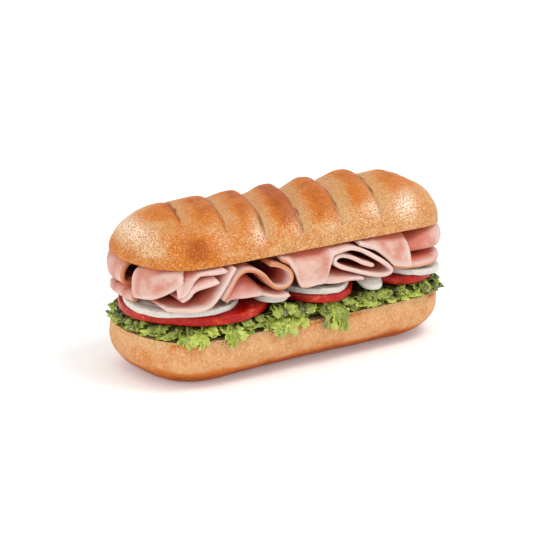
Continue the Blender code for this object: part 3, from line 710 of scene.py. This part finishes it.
def make_upper(settings):
    """Sections slanted with the scores, crust above and cut below, moved along their normals by noise.

    Each lobe ends in a lip, a bell curve of its share; the marks are products of eased steps of the dome's
    share and the lobe's share.
    """
    limit = ROLL_LENGTH / 2
    rows, over_count, under_count = 420, 132, 26
    t = np.linspace(-1, 1, rows + 2)[1:-1]
    stations = limit * np.sign(t) * (1 - (1 - np.abs(t)) ** 1.25)
    over = np.sin(np.linspace(-math.pi / 2, math.pi / 2, over_count))
    across = np.concatenate([over, np.linspace(1, -1, under_count)[1:-1]])
    on_top = np.arange(len(across)) < over_count
    s, v = np.meshgrid(stations, across, indexing="ij")
    x = s + CREASE_SLANT * ROLL_WIDTH / 2 * v * (1 - np.abs(s / limit) ** 6)
    y = half_width(x) * v
    crust, dome, share, k, left, right = upper_surface(x, y)
    cut = settle(np.stack([x, y, np.full_like(x, UPPER_CUT)], -1))[..., 2]
    rim = np.abs(v) > 0.9999
    z = np.where(rim, cut, np.where(on_top, np.maximum(crust, cut + 0.25), cut))
    grid = np.stack([x, y, z], -1)

    faded = smooth((dome - 0.3) / 0.35) * on_top
    lip = np.exp(-(((share - 0.985) / 0.035) ** 2)) * (k < len(CREASES)) * faded * right
    torn = noise(grid * np.array([1.0, 0.35, 0.35]), 2.2, 5)
    ragged = 0.05 * noise(grid * np.array([1.0, 0.3, 0.3]), 5.0, 8)
    spread = np.array(SCORE_SPREADS)[k]
    score_and_crease_shadow = (1 - smooth((share + ragged - 0.3 * spread) / (0.7 * spread))) * (k > 0) * faded * left
    score_and_crease_shadow = score_and_crease_shadow * left * (1 - 0.45 * smooth((dome - 0.88) / 0.12))
    relief = settings.relief / MM * (layered(grid, 8.0, 4, 1) + 0.9 * score_and_crease_shadow * torn)
    relief = relief - 1.1 * lip * (1 + 0.5 * torn)
    skin = np.where(on_top & ~rim, smooth(dome / 0.12), 0.0)
    facing = normals(grid)
    facing = facing * np.sign(facing[:, over_count // 2, 2].mean())
    grid = np.where(on_top[None, :, None], grid + facing * (relief * skin)[..., None], grid)

    reach = x / limit
    drift = noise(grid * np.array([1.0, 0.5, 0.5]), 9.0, 12)
    ridge = smooth((share + 0.1 * drift + 0.08 * torn - 0.5 * spread) / 0.36)
    ridge = ridge * (1 - 0.3 * smooth((share - 0.93) / 0.07))
    bake = np.array(LOBE_BAKE)[k] * ridge * smooth((dome - np.array(BAKE_FROM)[k] - 0.12 * drift) / 0.26)
    bake = bake + 0.14 * smooth((dome - 0.84) / 0.16) * (0.35 + 0.65 * ridge)
    band = smooth((0.34 + 0.08 * drift - dome) / 0.2) * (0.05 + 0.45 * smooth((-reach - 0.2) / 0.45))
    middle, stain_reach = STAIN_AT
    low_front = smooth((dome - 0.08) / 0.15) * smooth((0.74 - dome) / 0.25) * (y < 0)
    stain = 0.75 * np.exp(-(((x - middle) / stain_reach) ** 2)) * low_front
    left_half = 0.26 * smooth((0.1 - reach) / 0.4) * smooth((share + k - 0.7) / 0.4)
    warm = (0.12 + left_half) * smooth((dome - 0.1) / 0.2)
    # A thin dark line at the start of each lobe, under the lip before it: painted crease shadow
    crease_shadow = np.exp(-(((share - 0.012) / 0.022) ** 2)) * (k > 0) * faded * left * (1 + torn)
    # 0.2 * lip darkens each lip's steep fall: painted shade along the crease
    bake = np.where(on_top, np.maximum(np.maximum(bake, band), warm) + stain + 0.2 * lip, 0.0)
    # Painted highlight: a pale patch on each lobe where SHINE_AT puts it, and a strip at the lower end of
    # each lip
    along, up = (share - np.array(SHINE_AT)[k]) / 0.25, (dome - 0.52 - 0.1 * drift) / 0.23
    shine = np.exp(-(along**2) - up**2) * np.array(LOBE_SHINE)[k]
    shine = np.where(on_top, shine + 0.9 * lip * smooth((0.85 - dome) / 0.3), 0.0)
    # Specks of flour and painted glint, on the paler lower slopes
    flour_and_glint = np.where(on_top, (1 - 0.7 * np.clip(bake, 0, 1)) * smooth((1.0 - dome) / 0.5), 0.0)
    crumb = np.where(on_top, 0.0, 1.0) * np.ones_like(x)
    # The score mark also carries the painted crease shadow, which shows where it passes 1
    score_and_crease_shadow = 0.9 * score_and_crease_shadow + 1.3 * crease_shadow
    marks = {"bake": bake, "score_and_crease_shadow": score_and_crease_shadow, "crumb": crumb, "flour_and_glint": flour_and_glint, "shine": shine}
    tips = np.array([[side * limit, 0, UPPER_CUT - SAG - END_SAG] for side in (-1, 1)])
    points, faces = loft(grid, tips)
    marks = with_tips(marks)
    material = crust_finish("upper_crust", settings, False)
    put_piece("upper_roll", points, faces, marks, material, ["bun_top"], 50)


def make_lower(settings):
    """Sections of a superellipse bowl cut off flat below, whose wall bulges by a sine squared of its height,
    moved along their normals by layered noise."""
    limit = ROLL_LENGTH / 2
    rows, under_count, cut_count = 360, 150, 26
    stations = limit * np.sin(np.linspace(-1, 1, rows + 2)[1:-1] * math.pi / 2)
    under = np.sin(np.linspace(-1, 1, under_count) * math.pi / 2)
    cut = np.linspace(CUT_REACH, -CUT_REACH, cut_count)
    across = np.concatenate([under, cut])
    on_cut = np.arange(len(across)) >= len(under)
    s, v = np.meshgrid(stations, across, indexing="ij")
    y = half_width(s) * v
    bowl = np.clip(1 - outward(s, y) ** ROUND_POWER, 0, 1) ** (1 / ROUND_POWER)
    edge = LOWER_HEIGHT - EDGE_DROP
    depth = BOTTOM_DEPTH + BOTTOM_FULLER * smooth(-s / limit - 0.1)
    z = np.maximum(edge * (1 - depth * bowl), 0)
    z = np.where(on_cut, LOWER_HEIGHT, z)
    bulge = WALL_BULGE * np.sin(math.pi * np.clip(z / LOWER_HEIGHT, 0, 1)) ** 2
    grid = np.stack([s * (1 + bulge / limit), y * (1 + 2 * bulge / ROLL_WIDTH), z], -1)
    facing = normals(grid)
    facing = facing * np.sign(-facing[:, len(under) // 2, 2].mean())
    wall = np.where(on_cut, 0.0, smooth(z / 3.0))
    upright = np.array([1.0, 1.0, 0.25])
    wrinkle = noise(grid * upright, 5.0, 9)
    relief = settings.relief / MM * (0.8 * layered(grid, 10.0, 4, 3) + 0.7 * wrinkle) * wall
    grid = grid + facing * relief[..., None]
    reach = s / limit
    underside = 1.4 * smooth((8.0 - z) / 5.0) * (0.5 + 0.5 * smooth((reach + 0.65) / 0.4))
    low = 0.4 * smooth((12.0 - z) / 9.0) + underside + 0.5 * smooth((z - 18.0) / 1.6)
    orange = 0.12 * smooth((-reach - 0.5) / 0.3) * smooth((z - 6) / 8)
    streak = 0.16 * np.clip(noise(grid * upright, 9.0, 10) + 0.3, 0, 1)
    bake = np.where(on_cut, 0.0, low + orange + streak)
    crumb = np.where(on_cut, 1.0, 0.0) * np.ones_like(s)
    # Specks of flour and painted glint, more of them higher up the wall
    flour_and_glint = np.where(on_cut, 0.0, 0.9 * smooth((z - 6) / 8))
    none = np.zeros_like(s)
    marks = {"bake": bake, "score_and_crease_shadow": none, "crumb": crumb, "flour_and_glint": flour_and_glint, "shine": none}
    tips = np.array([[-limit, 0, edge], [limit, 0, edge]])
    points, faces = loft(grid, tips)
    marks = with_tips(marks)
    material = crust_finish("lower_crust", settings, True)
    put_piece("lower_roll", points, faces, marks, material, ["bun_bottom"], 50)


# The fillings

def disc(size, levels, drop, sides, rings, wobble, rough):
    """A round slice: circles on both faces and round a bulging rim, with a radius that waves by two sines.

    Its edge hangs by an eased step of the radius, where it lies near the outline.
    """
    centre_x, centre_y, size_x, size_y = size
    low, high = levels
    angle = np.linspace(0, 2 * math.pi, sides, endpoint=False)
    shape = 1 + wobble * np.sin(3 * angle + centre_x) + wobble * np.sin(5 * angle + centre_y)
    tilt = np.linspace(math.pi / 2, -math.pi / 2, 11)
    bulge = (high - low) / 2
    inner = [(share, high) for share in rings]
    narrower = bulge * 0.42 * (1 - np.sqrt(np.abs(np.cos(tilt)))) / size_x
    outer = np.stack([1 - narrower, (low + high) / 2 + bulge * np.sin(tilt)], -1)
    circles = np.array([*inner, *outer, *[(share, low) for share in rings[::-1]]])
    share, z = circles[:, :1], circles[:, 1:]
    x = centre_x + size_x * shape * share * np.cos(angle)
    y = centre_y + size_y * shape * share * np.sin(angle)
    z = np.broadcast_to(z, x.shape)
    hang = drop * smooth((share - 0.7) / 0.3) * smooth((outward(x, y) - 0.72) / 0.25)
    grid = np.stack([x, y, z - hang], -1)
    grid[..., 2] += rough * noise(grid * np.array([1, 1, 0]), 3.5, 2)
    side = np.zeros(len(circles))
    side[len(inner):len(inner) + len(tilt)] = np.cos(tilt)
    poles = settle([[centre_x, centre_y, high], [centre_x, centre_y, low]])
    points, faces = loft(settle(grid), poles)
    marks = {
        "skin": np.append(np.broadcast_to(side[:, None], x.shape).ravel(), [0, 0]),
        "ring": np.append(np.broadcast_to(share, x.shape).ravel() * size_x, [0, 0]),
    }
    return points, faces, marks


def make_tomatoes(settings):
    """Round slices with a glossy skin on the rim and wet, streaked flesh, whose pale flecks are partly paler
    flesh and partly painted wet highlight.
    """
    f = Finish("tomato")
    streak = f.grain(2.4, 4.0, 0.65, stretch=(0.5, 0.5, 1.4))
    patch = f.grain(8.0, 3.0, 0.6)
    tone = f.painted(
        settings.flesh,
        (patch.step(0.4, 0.7) * 0.7, TOMATO_ORANGE),
        (streak.step(0.52, 0.36) * 0.55, TOMATO_DARK),
        # Pale flecks, partly paler flesh and partly painted wet highlight
        ((streak * patch * 4.0).step(1.2, 1.6) * 0.6, TOMATO_PALE_AND_SHEEN),
    )
    rough = 0.26 + (1.0 - f.mark("skin")) * 0.1 + (streak - 0.5) * 0.2
    wet = f.bump(streak, 0.35)
    material = f.done(
        Base_Color=tone, Roughness=rough, Normal=wet, Specular_IOR_Level=0.25,
        Subsurface_Weight=0.06, Subsurface_Radius=(1.0, 0.2, 0.1), Subsurface_Scale=0.0015)
    for number, size in enumerate(TOMATOES, 1):
        points, faces, marks = disc(
            size, TOMATO_LEVELS, drop=0.0, sides=220, rings=(0.3, 0.6, 0.85, 0.95), wobble=0.006, rough=0.12)
        name = f"tomato_slice_{number}"
        put_piece(f"tomato_{number}", points, faces, marks, material, [name])


def make_onions():
    """Round slices whose layers show as rings, faintly translucent."""
    f = Finish("onion")
    ring = f.mark("ring")
    layer = (ring * 1.9).math("SINE", ring * 1.9)
    cloud = f.grain(3.0, 4.0, 0.6)
    vein = f.grain(1.2, 2.0, 0.5, stretch=(1.0, 1.0, 3.0))
    tone = f.painted(
        ONION_WHITE,
        ((layer * 0.5 + 0.5) * 0.35, ONION_RING),
        (cloud.step(0.45, 0.75) * 0.6, ONION_CLOUD),
        (vein.step(0.55, 0.7) * 0.45, ONION_VEIN),
    )
    wet = f.bump(layer * 0.3 + cloud, 0.3)
    material = f.done(
        Base_Color=tone, Roughness=0.24 + cloud * 0.16, Normal=wet, Specular_IOR_Level=0.55,
        Subsurface_Weight=0.15, Subsurface_Radius=(1.0, 0.95, 0.85), Subsurface_Scale=0.003)
    for number, (size, drop) in enumerate(zip(ONIONS, ONION_DROPS), 1):
        rings = (0.3, 0.55, 0.75, 0.88, 0.95)
        points, faces, marks = disc(
            size, ONION_LEVELS, drop, sides=180, rings=rings, wobble=0.008, rough=0.22)
        name = f"onion_slice_{number}"
        put_piece(f"onion_{number}", points, faces, marks, material, [name])


def ham_surface(path, count, depths, ruffle):
    """Middle of a slice: each point of its path is a line across the roll, from outline to outline.

    Its edges wave by a sine, and hang by the power 1.5 of how far past the drape's start they lie.
    """
    x, z, hang, stand = (column[:, None] for column in spline(path, count).T)
    v = np.asarray(depths)[None, :]
    hanging = np.clip(hang / 4, 0, 1)
    plain = np.abs(v)
    past = np.clip((plain - DRAPE_START) / (1 - DRAPE_START), 0, 1)
    turned = DRAPE_START + (1 - DRAPE_START) * (1 - (1 - past) ** ROUND_POWER)
    draped = np.where(plain > DRAPE_START, turned, plain)
    out = plain * (1 - hanging) + draped * hanging
    wave = ruffle * np.sin(0.18 * np.arange(count)[:, None] + path[0][0]) * plain**6
    reach = half_width(x, FILLING_LENGTH) + stand + wave
    sway = 0.9 * np.sin(0.09 * (reach * v) + 0.6)
    y = np.sign(v) * out * reach
    return settle(np.stack(np.broadcast_arrays(x + sway, y, z - hang * past**1.5), -1))


def wrap_surface(first, last, rise, tuck, rows, count, across, ruffle):
    """Middle of a slice folded over the wall: one section in (out, height), carried round the outline.

    Its lower border rises by a power of the way round, and its last part tucks in by an eased step.
    """
    out, height = spline(rows, across).T
    turn, out = np.meshgrid(np.radians(np.linspace(first, last, count)), out, indexing="ij")
    share = np.linspace(0, 1, count)[:, None]
    lowest = min(row[1] for row in rows)
    tucked = tuck * smooth((share - TUCK_START) / (1 - TUCK_START))
    height = WRAP_TOP - (WRAP_TOP - height) * (1 - rise * share**2.6 / (WRAP_TOP - lowest))
    height = lowest + (height - lowest) * (1 - TUCK_DROP * tucked / (WRAP_TOP - lowest))
    wave = ruffle * np.sin(turn * 17 + out)
    place, _ = rim_point(turn, out - tucked + 0.6 * wave)
    return settle(np.concatenate([place, (height + 0.5 * wave)[..., None]], -1))


def run_to_edge(grid, axis):
    """Distance in millimetres from each point of a grid to the nearer end of its line along this axis."""
    step = np.linalg.norm(np.diff(grid, axis=axis), axis=-1)
    zero = np.zeros_like(np.take(step, [0], axis=axis))
    ahead = np.concatenate([zero, np.cumsum(step, axis=axis)], axis=axis)
    return np.minimum(ahead, np.take(ahead, [-1], axis=axis) - ahead)


def ham_slice(grid, browned):
    """The sheet, thinned to its edge by a quarter circle and uneven by noise, marked by edge, and by depth
    inside the outline for painted fold shade.
    """
    ends, fronts = run_to_edge(grid, 0), run_to_edge(grid, 1)
    far = np.minimum(ends, fronts)
    curve = np.sqrt(np.clip(1 - (1 - np.clip(far / 0.9, 0, 1)) ** 2, 0, 1))
    uneven = 1 + 0.07 * noise(grid, 6.0, 4)
    points, faces = sheet(grid, HAM_THICK * (0.42 + 0.58 * curve) * uneven)
    front, end, along = browned
    rows = np.linspace(0, 1, len(grid))[:, None]
    front = front * (0.15 + 0.85 * smooth((along + 0.03 - rows) / 0.03))
    char = np.maximum(front * smooth(1 - fronts / 1.9), end * smooth(1 - ends / 2.2))
    # How far inside the outline a point lies, which sets the painted fold shade
    fold_shade_depth = (1 - outward(grid[..., 0], grid[..., 1])) * ROLL_WIDTH / 2
    marks = {"rim": smooth(1 - far / 4.0), "fold_shade_depth": np.clip((fold_shade_depth - 0.2) / 9.0, 0, 1)}
    marks = {name: np.tile(values.ravel(), 2) for name, values in marks.items()}
    return points, faces, {**marks, "char": np.concatenate([0.45 * char.ravel(), char.ravel()])}


def make_ham(settings):
    """Folded slices: soft pink meat, with painted red shade deeper inside the folds, paler cut edges and
    browned rims.
    """
    f = Finish("ham")
    cloud = f.grain(8.0, 3.0, 0.55)
    fibre = f.grain(1.8, 4.0, 0.6, stretch=(0.5, 1.0, 1.6))
    fleck = f.grain(1.0, 2.0, 0.5)
    fold_shade_depth = f.mark("fold_shade_depth")
    char = (f.mark("char") * (0.75 + cloud * 0.6)).step(0.12, 0.75)
    tone = f.painted(
        settings.ham,
        (cloud.step(0.36, 0.64) * 0.9, HAM_ROSY),
        (fibre.step(0.5, 0.75) * 0.35, HAM_FIBRE),
        (fleck.step(0.6, 0.75) * 0.25, HAM_FLECK),
        (f.mark("rim") * 0.75, HAM_RIM),
        # Painted shade, redder and darker deeper inside the folds
        (fold_shade_depth.step(0.0, 0.35) * 0.85, HAM_FOLD_SHADE),
        (fold_shade_depth.step(0.35, 1.0), HAM_DEEP_SHADE),
        (char * 0.9, HAM_BROWNED),
    )
    moist = f.bump(cloud * 0.8 + fibre * 0.35, 0.25)
    material = f.done(
        Base_Color=tone, Roughness=0.36 + fibre * 0.2, Normal=moist, Specular_IOR_Level=0.45,
        Subsurface_Weight=0.22, Subsurface_Radius=(1.0, 0.4, 0.3), Subsurface_Scale=0.0025)
    ruffle = settings.ruffle / MM
    near = np.array([0, 0.004, 0.01, 0.018, 0.03, 0.05, 0.08, 0.12, 0.17, 0.23, 0.3, 0.4, 0.52, 0.68, 0.84])
    depths = np.concatenate([-(1 - near), [0.0], (1 - near)[::-1]])
    grids = []
    for path in HAM:
        run = np.hypot(*np.diff(np.array(path)[:, :2], axis=0).T).sum()
        grids.append(ham_surface(path, max(HAM_LEAST_ROWS, int(run / HAM_ROW)), depths, ruffle))
    for first, last, rise, tuck, rows in HAM_WRAPS:
        count = int(abs(last - first) * 1.6)
        grids.append(wrap_surface(first, last, rise, tuck, rows, count, 48, ruffle))
    for number, (grid, browned) in enumerate(zip(grids, HAM_RIMS), 1):
        points, faces, marks = ham_slice(grid, browned)
        put_piece(f"ham_{number}", points, faces, marks, material, [f"ham_slice_{number}"])


def lettuce_core():
    """A low heap inside the shreds: sections rounded by a power of sine and cosine, rough by noise."""
    limit = ROLL_LENGTH / 2 - 3
    stations = limit * np.sin(np.linspace(-1, 1, 92)[1:-1] * math.pi / 2)
    turn = np.linspace(0, 2 * math.pi, 72, endpoint=False)
    across = np.sign(np.cos(turn)) * np.abs(np.cos(turn)) ** 0.35
    level = 0.5 + 0.5 * np.sign(np.sin(turn)) * np.abs(np.sin(turn)) ** 0.35
    s, v = np.meshgrid(stations, across, indexing="ij")
    y = (half_width(s, 2 * limit) - 2.6 * (1 - np.abs(s / limit) ** 4)) * v
    z = SAG_START + (LETTUCE_TOP - SAG_START) * np.broadcast_to(level, s.shape)
    grid = np.stack([s, y, z], -1)
    grid[..., :2] *= 1 - 0.006 * np.abs(noise(grid, 3.0, 6))[..., None]
    tips = settle([[-limit, 0, 24.4], [limit, 0, 24.4]])
    points, faces = loft(settle(grid), tips)
    return points, faces, {"leaf": np.zeros(len(points)), "rib": np.zeros(len(points))}


def shred(turn, run, width, frill, tone, ceiling, chance):
    """A strip along a curve in (out, height), waved by a sine that grows with the distance off its middle."""
    rows, columns = SHRED_GRID
    out, height = spline(run, rows).T
    side = np.linspace(-1, 1, columns)[None, :]
    share = np.linspace(0, 1, rows)[:, None]
    off = np.abs(side)
    phase = chance.uniform(0, 6.28, 4)
    waves = chance.uniform(1.6, 3.0)
    curl = off**1.4 * np.sin(6.28 * waves * share + phase[0] + 1.3 * np.sign(side))
    curl = frill * (curl + 0.5 * np.sin(2.6 * side + 6.0 * share + phase[1]))
    torn = 0.28 * np.sin(14.0 * waves * share + phase[2] + 2 * side) + 0.2 * np.sin(34.0 * share + phase[3])
    taper = 0.5 + 0.5 * np.sin(math.pi * np.clip(0.12 + 0.78 * share, 0, 1))
    steps = np.gradient(np.stack([out, height], -1), axis=0)
    steps = steps / np.maximum(np.linalg.norm(steps, axis=-1, keepdims=True), 1e-6)
    out = out[:, None] - steps[:, 1:] * curl
    height = np.minimum(height[:, None] + steps[:, :1] * curl, ceiling)
    base, slope = rim_point(np.full(out.shape, turn), out)
    along = np.stack([-slope[..., 1], slope[..., 0]], -1)
    lean = chance.uniform(-2.4, 2.4) * share + 0.6 * np.sin(4 * share + phase[1])
    place = base + along * (side / 2 * width * (1 + torn) * taper + lean)[..., None]
    points, faces = sheet(settle(np.concatenate([place, height[..., None]], -1)), LEAF_THICK)
    # The last term makes leaves further in under the roll darker: painted shade
    shade = tone + 0.6 * off * share - 0.5 * smooth((-out - 0.6) / 2.6)
    rib = np.exp(-((side / 0.16) ** 2)) * (chance.uniform() < 0.5) * np.ones_like(share)
    return points, faces, {"leaf": np.tile(shade.ravel(), 2), "rib": np.tile(rib.ravel(), 2)}


def inner_shreds(count, frill, chance):
    """Narrow shreds all round, crested just inside the rim, close under the tomatoes."""
    for turn in bearings((np.arange(count) + chance.uniform(-0.45, 0.45, count)) / count):
        peak = chance.uniform(27.4, INNER_TOP)
        tip = chance.uniform(-0.6, 0.8) - 1.8 * (math.cos(turn) > END_COSINE)
        run = [(-8.0, 26.4), (-4.6, peak - 0.4), (tip - 1.8, peak), (tip, peak - 2.6)]
        width, tone = chance.uniform(2.4, 4.6), chance.uniform(-0.1, 0.7)
        yield shred(turn, run, width, 0.8 * frill, tone, INNER_TOP, chance)


def rim_shreds(count, widths, reaches, frill, chance):
    """Shreds all round the rim, which rise from the heap and curl over just outside it."""
    for turn in bearings((np.arange(count) + chance.uniform(-0.45, 0.45, count)) / count):
        at_end = math.cos(turn) > END_COSINE
        high = chance.uniform(23.2, LETTUCE_TOP - 2.0 * at_end)
        reach = chance.uniform(-2.4, -1.0) if at_end else chance.uniform(-0.2, reaches)
        reach = min(reach, 0.2) if math.cos(turn) < -END_COSINE else reach
        tip = chance.uniform(21.0, high)
        run = [(-6.0, 24.5), (-2.6, high), (reach - 0.6, high * 0.6 + tip * 0.4), (reach, tip)]
        width, tone = chance.uniform(*widths), chance.uniform(-0.25, 1.15)
        ceiling = LETTUCE_TOP + 0.8 - 2.0 * at_end
        yield shred(turn, run, width, frill, tone, ceiling, chance)


def heaped_shreds(frill, chance):
    """Four shreds for each solid one that arches up in a gap between the tomatoes."""
    for x, top in HEAPS:
        for shift in (-1.9, -0.6, 0.7, 2.0):
            peak, tip = top - chance.uniform(0.0, 2.2), chance.uniform(0.6, 2.2)
            run = [(-6.4, 26.0), (-3.4, peak - 1.4), (-0.8, peak - 0.6), (tip, peak - 3.6)]
            width, tone = chance.uniform(2.8, 5.0), chance.uniform(-0.4, 0.65)
            yield shred(bearing_of(x + shift, -1), run, width, 0.8 * frill, tone, top, chance)


def hanging_shreds(frill, chance):
    """Four shreds for each solid one that hangs over the rim, the longest as long as the solid one."""
    for x, side, low, width in CLUMPS:
        for shift, shorter in ((-0.3, 1.0), (0.0, 0.0), (0.24, 1.6), (0.42, 3.0)):
            end = low + shorter + chance.uniform(0.0, 0.6)
            turn = bearing_of(x + shift * width, side)
            run = [(-5.0, 25.2), (-0.6, 25.2), (1.8, 23.4), (2.3, (23.4 + end) / 2), (1.9, end)]
            yield shred(turn, run, 0.62 * width, 0.75 * frill, chance.uniform(0.2, 1.05), LETTUCE_TOP, chance)


def make_lettuce(settings):
    """One heap: a core, shreds all round the rim, arched ones between the tomatoes, and hanging clumps."""
    f = Finish("lettuce")
    cloud = f.grain(3.0, 4.0, 0.6)
    vein = f.grain(0.9, 3.0, 0.6, stretch=(1.0, 1.0, 0.5))
    # The leaf mark is lower for shreds further in under the roll: painted shade
    leaf = f.mark("leaf") + (cloud - 0.5) * 1.3
    tone = f.painted(
        LEAF_SHADE,
        (leaf.step(-0.1, 0.4), LEAF_GREEN),
        (leaf.step(0.3, 0.75), settings.leaf),
        (leaf.step(0.7, 1.2), LEAF_PALE),
        ((f.mark("rib") * 0.6).clamped(), LEAF_RIB),
        (vein.step(0.58, 0.72) * 0.35, LEAF_VEIN),
    )
    crisp = f.bump(vein * 0.6 + cloud, 0.4)
    material = f.done(
        Base_Color=tone, Roughness=0.36 + cloud * 0.2, Normal=crisp, Specular_IOR_Level=0.5,
        Subsurface_Weight=0.08, Subsurface_Radius=(0.5, 1.0, 0.2), Subsurface_Scale=0.001)
    chance = np.random.default_rng(LETTUCE_SEED)
    frill = settings.frill / MM
    shells = [
        lettuce_core(),
        *rim_shreds(settings.shreds, (3.0, 6.0), 2.4, frill, chance),
        *inner_shreds(settings.scraps, frill, chance),
        *heaped_shreds(frill, chance),
        *hanging_shreds(frill, chance),
    ]
    points, faces, marks = joined(shells)
    put_piece("lettuce_heap", points, faces, marks, material, ["lettuce"])


# The stage

def make_stage(settings):
    """A plain pale floor, soft lights over and beside the roll, and the camera at the photographed angle."""
    scene = bpy.context.scene
    side = 3.0
    mesh = bpy.data.meshes.new("floor")
    corners = [(-side, -side, 0), (side, -side, 0), (side, side, 0), (-side, side, 0)]
    mesh.from_pydata(corners, [], [(0, 1, 2, 3)])
    f = Finish("floor")
    mesh.materials.append(f.done(
        Base_Color=(0.9, 0.9, 0.9), Roughness=0.9, Specular_IOR_Level=0.0,
        Emission_Color=(1.0, 1.0, 1.0), Emission_Strength=settings.glow))
    floor = bpy.data.objects.new("floor", mesh)
    scene.collection.objects.link(floor)

    world = bpy.data.worlds.new("studio")
    world.use_nodes = True
    world.node_tree.nodes["Background"].inputs["Color"].default_value = (1, 1, 1, 1)
    world.node_tree.nodes["Background"].inputs["Strength"].default_value = settings.sky
    scene.world = world

    def light(name, place, size, power):
        lamp = bpy.data.lights.new(name, "AREA")
        lamp.shape = "DISK"
        lamp.size = size
        lamp.energy = power
        thing = bpy.data.objects.new(name, lamp)
        thing.location = place
        thing.rotation_euler = (Vector((0, 0, 0.03)) - Vector(place)).to_track_quat("-Z", "Y").to_euler()
        scene.collection.objects.link(thing)

    light("key", (0.24, -0.34, 0.8), 0.4, settings.key)
    light("side", (-0.85, -0.35, 0.4), 0.6, settings.fill)

    a, e = settings.azimuth, settings.elevation
    back = Vector((math.sin(a) * math.cos(e), -math.cos(a) * math.cos(e), math.sin(e)))
    camera = bpy.data.objects.new("camera", bpy.data.cameras.new("camera"))
    camera.data.sensor_width = SENSOR_WIDTH
    camera.data.lens = SENSOR_WIDTH * FOCAL_LENGTH / IMAGE_SIZE
    camera.data.clip_start = 0.05
    camera.location = Vector((0, 0, settings.target)) + back * settings.distance
    camera.rotation_euler = (-back).to_track_quat("-Z", "Y").to_euler()
    scene.collection.objects.link(camera)
    scene.camera = camera
    scene.view_settings.view_transform = "Standard"


# The operators and the panel

class SANDWICH_OT_upper_roll(bpy.types.Operator):
    """Make the scored upper half of the roll"""

    bl_idname = "sandwich.upper_roll"
    bl_label = "Upper roll"

    def execute(self, context):
        make_upper(context.scene.sandwich_roll)
        return {"FINISHED"}


class SANDWICH_OT_lower_roll(bpy.types.Operator):
    """Make the lower half of the roll"""

    bl_idname = "sandwich.lower_roll"
    bl_label = "Lower roll"

    def execute(self, context):
        make_lower(context.scene.sandwich_roll)
        return {"FINISHED"}


class SANDWICH_OT_lettuce(bpy.types.Operator):
    """Make the heap of shredded lettuce"""

    bl_idname = "sandwich.lettuce"
    bl_label = "Lettuce"

    def execute(self, context):
        make_lettuce(context.scene.sandwich_fillings)
        return {"FINISHED"}


class SANDWICH_OT_tomatoes(bpy.types.Operator):
    """Make the tomato slices"""

    bl_idname = "sandwich.tomatoes"
    bl_label = "Tomatoes"

    def execute(self, context):
        make_tomatoes(context.scene.sandwich_fillings)
        return {"FINISHED"}


class SANDWICH_OT_onions(bpy.types.Operator):
    """Make the onion slices"""

    bl_idname = "sandwich.onions"
    bl_label = "Onions"

    def execute(self, context):
        make_onions()
        return {"FINISHED"}


class SANDWICH_OT_ham(bpy.types.Operator):
    """Make the folded ham slices"""

    bl_idname = "sandwich.ham"
    bl_label = "Ham"

    def execute(self, context):
        make_ham(context.scene.sandwich_fillings)
        return {"FINISHED"}


class SANDWICH_OT_stage(bpy.types.Operator):
    """Make the floor, the lights and the camera"""

    bl_idname = "sandwich.stage"
    bl_label = "Stage"

    def execute(self, context):
        make_stage(context.scene.sandwich_stage)
        return {"FINISHED"}


OPERATORS = (
    SANDWICH_OT_stage, SANDWICH_OT_lower_roll, SANDWICH_OT_lettuce, SANDWICH_OT_tomatoes,
    SANDWICH_OT_onions, SANDWICH_OT_ham, SANDWICH_OT_upper_roll,
)
SETTINGS = {
    "sandwich_roll": RollSettings, "sandwich_fillings": FillingSettings, "sandwich_stage": StageSettings,
}


class SANDWICH_PT_panel(bpy.types.Panel):
    """Lists the pieces and their settings"""

    bl_label = "Submarine sandwich"
    bl_idname = "SANDWICH_PT_panel"
    bl_space_type = "VIEW_3D"
    bl_region_type = "UI"
    bl_category = "Sandwich"

    def draw(self, context):
        for operator in OPERATORS:
            self.layout.operator(operator.bl_idname)
        for group, kind in SETTINGS.items():
            box = self.layout.box()
            for name in kind.__annotations__:
                box.prop(getattr(context.scene, group), name)


def register():
    for kind in (*SETTINGS.values(), *OPERATORS, SANDWICH_PT_panel):
        bpy.utils.register_class(kind)
    for group, kind in SETTINGS.items():
        setattr(bpy.types.Scene, group, PointerProperty(type=kind))


def unregister():
    for group in SETTINGS:
        delattr(bpy.types.Scene, group)
    for kind in (SANDWICH_PT_panel, *OPERATORS[::-1], *SETTINGS.values()):
        bpy.utils.unregister_class(kind)


def main():
    register()
    bpy.ops.sandwich.stage()
    bpy.ops.sandwich.lower_roll()
    bpy.ops.sandwich.lettuce()
    bpy.ops.sandwich.tomatoes()
    bpy.ops.sandwich.onions()
    bpy.ops.sandwich.ham()
    bpy.ops.sandwich.upper_roll()


if __name__ == "__main__":
    main()
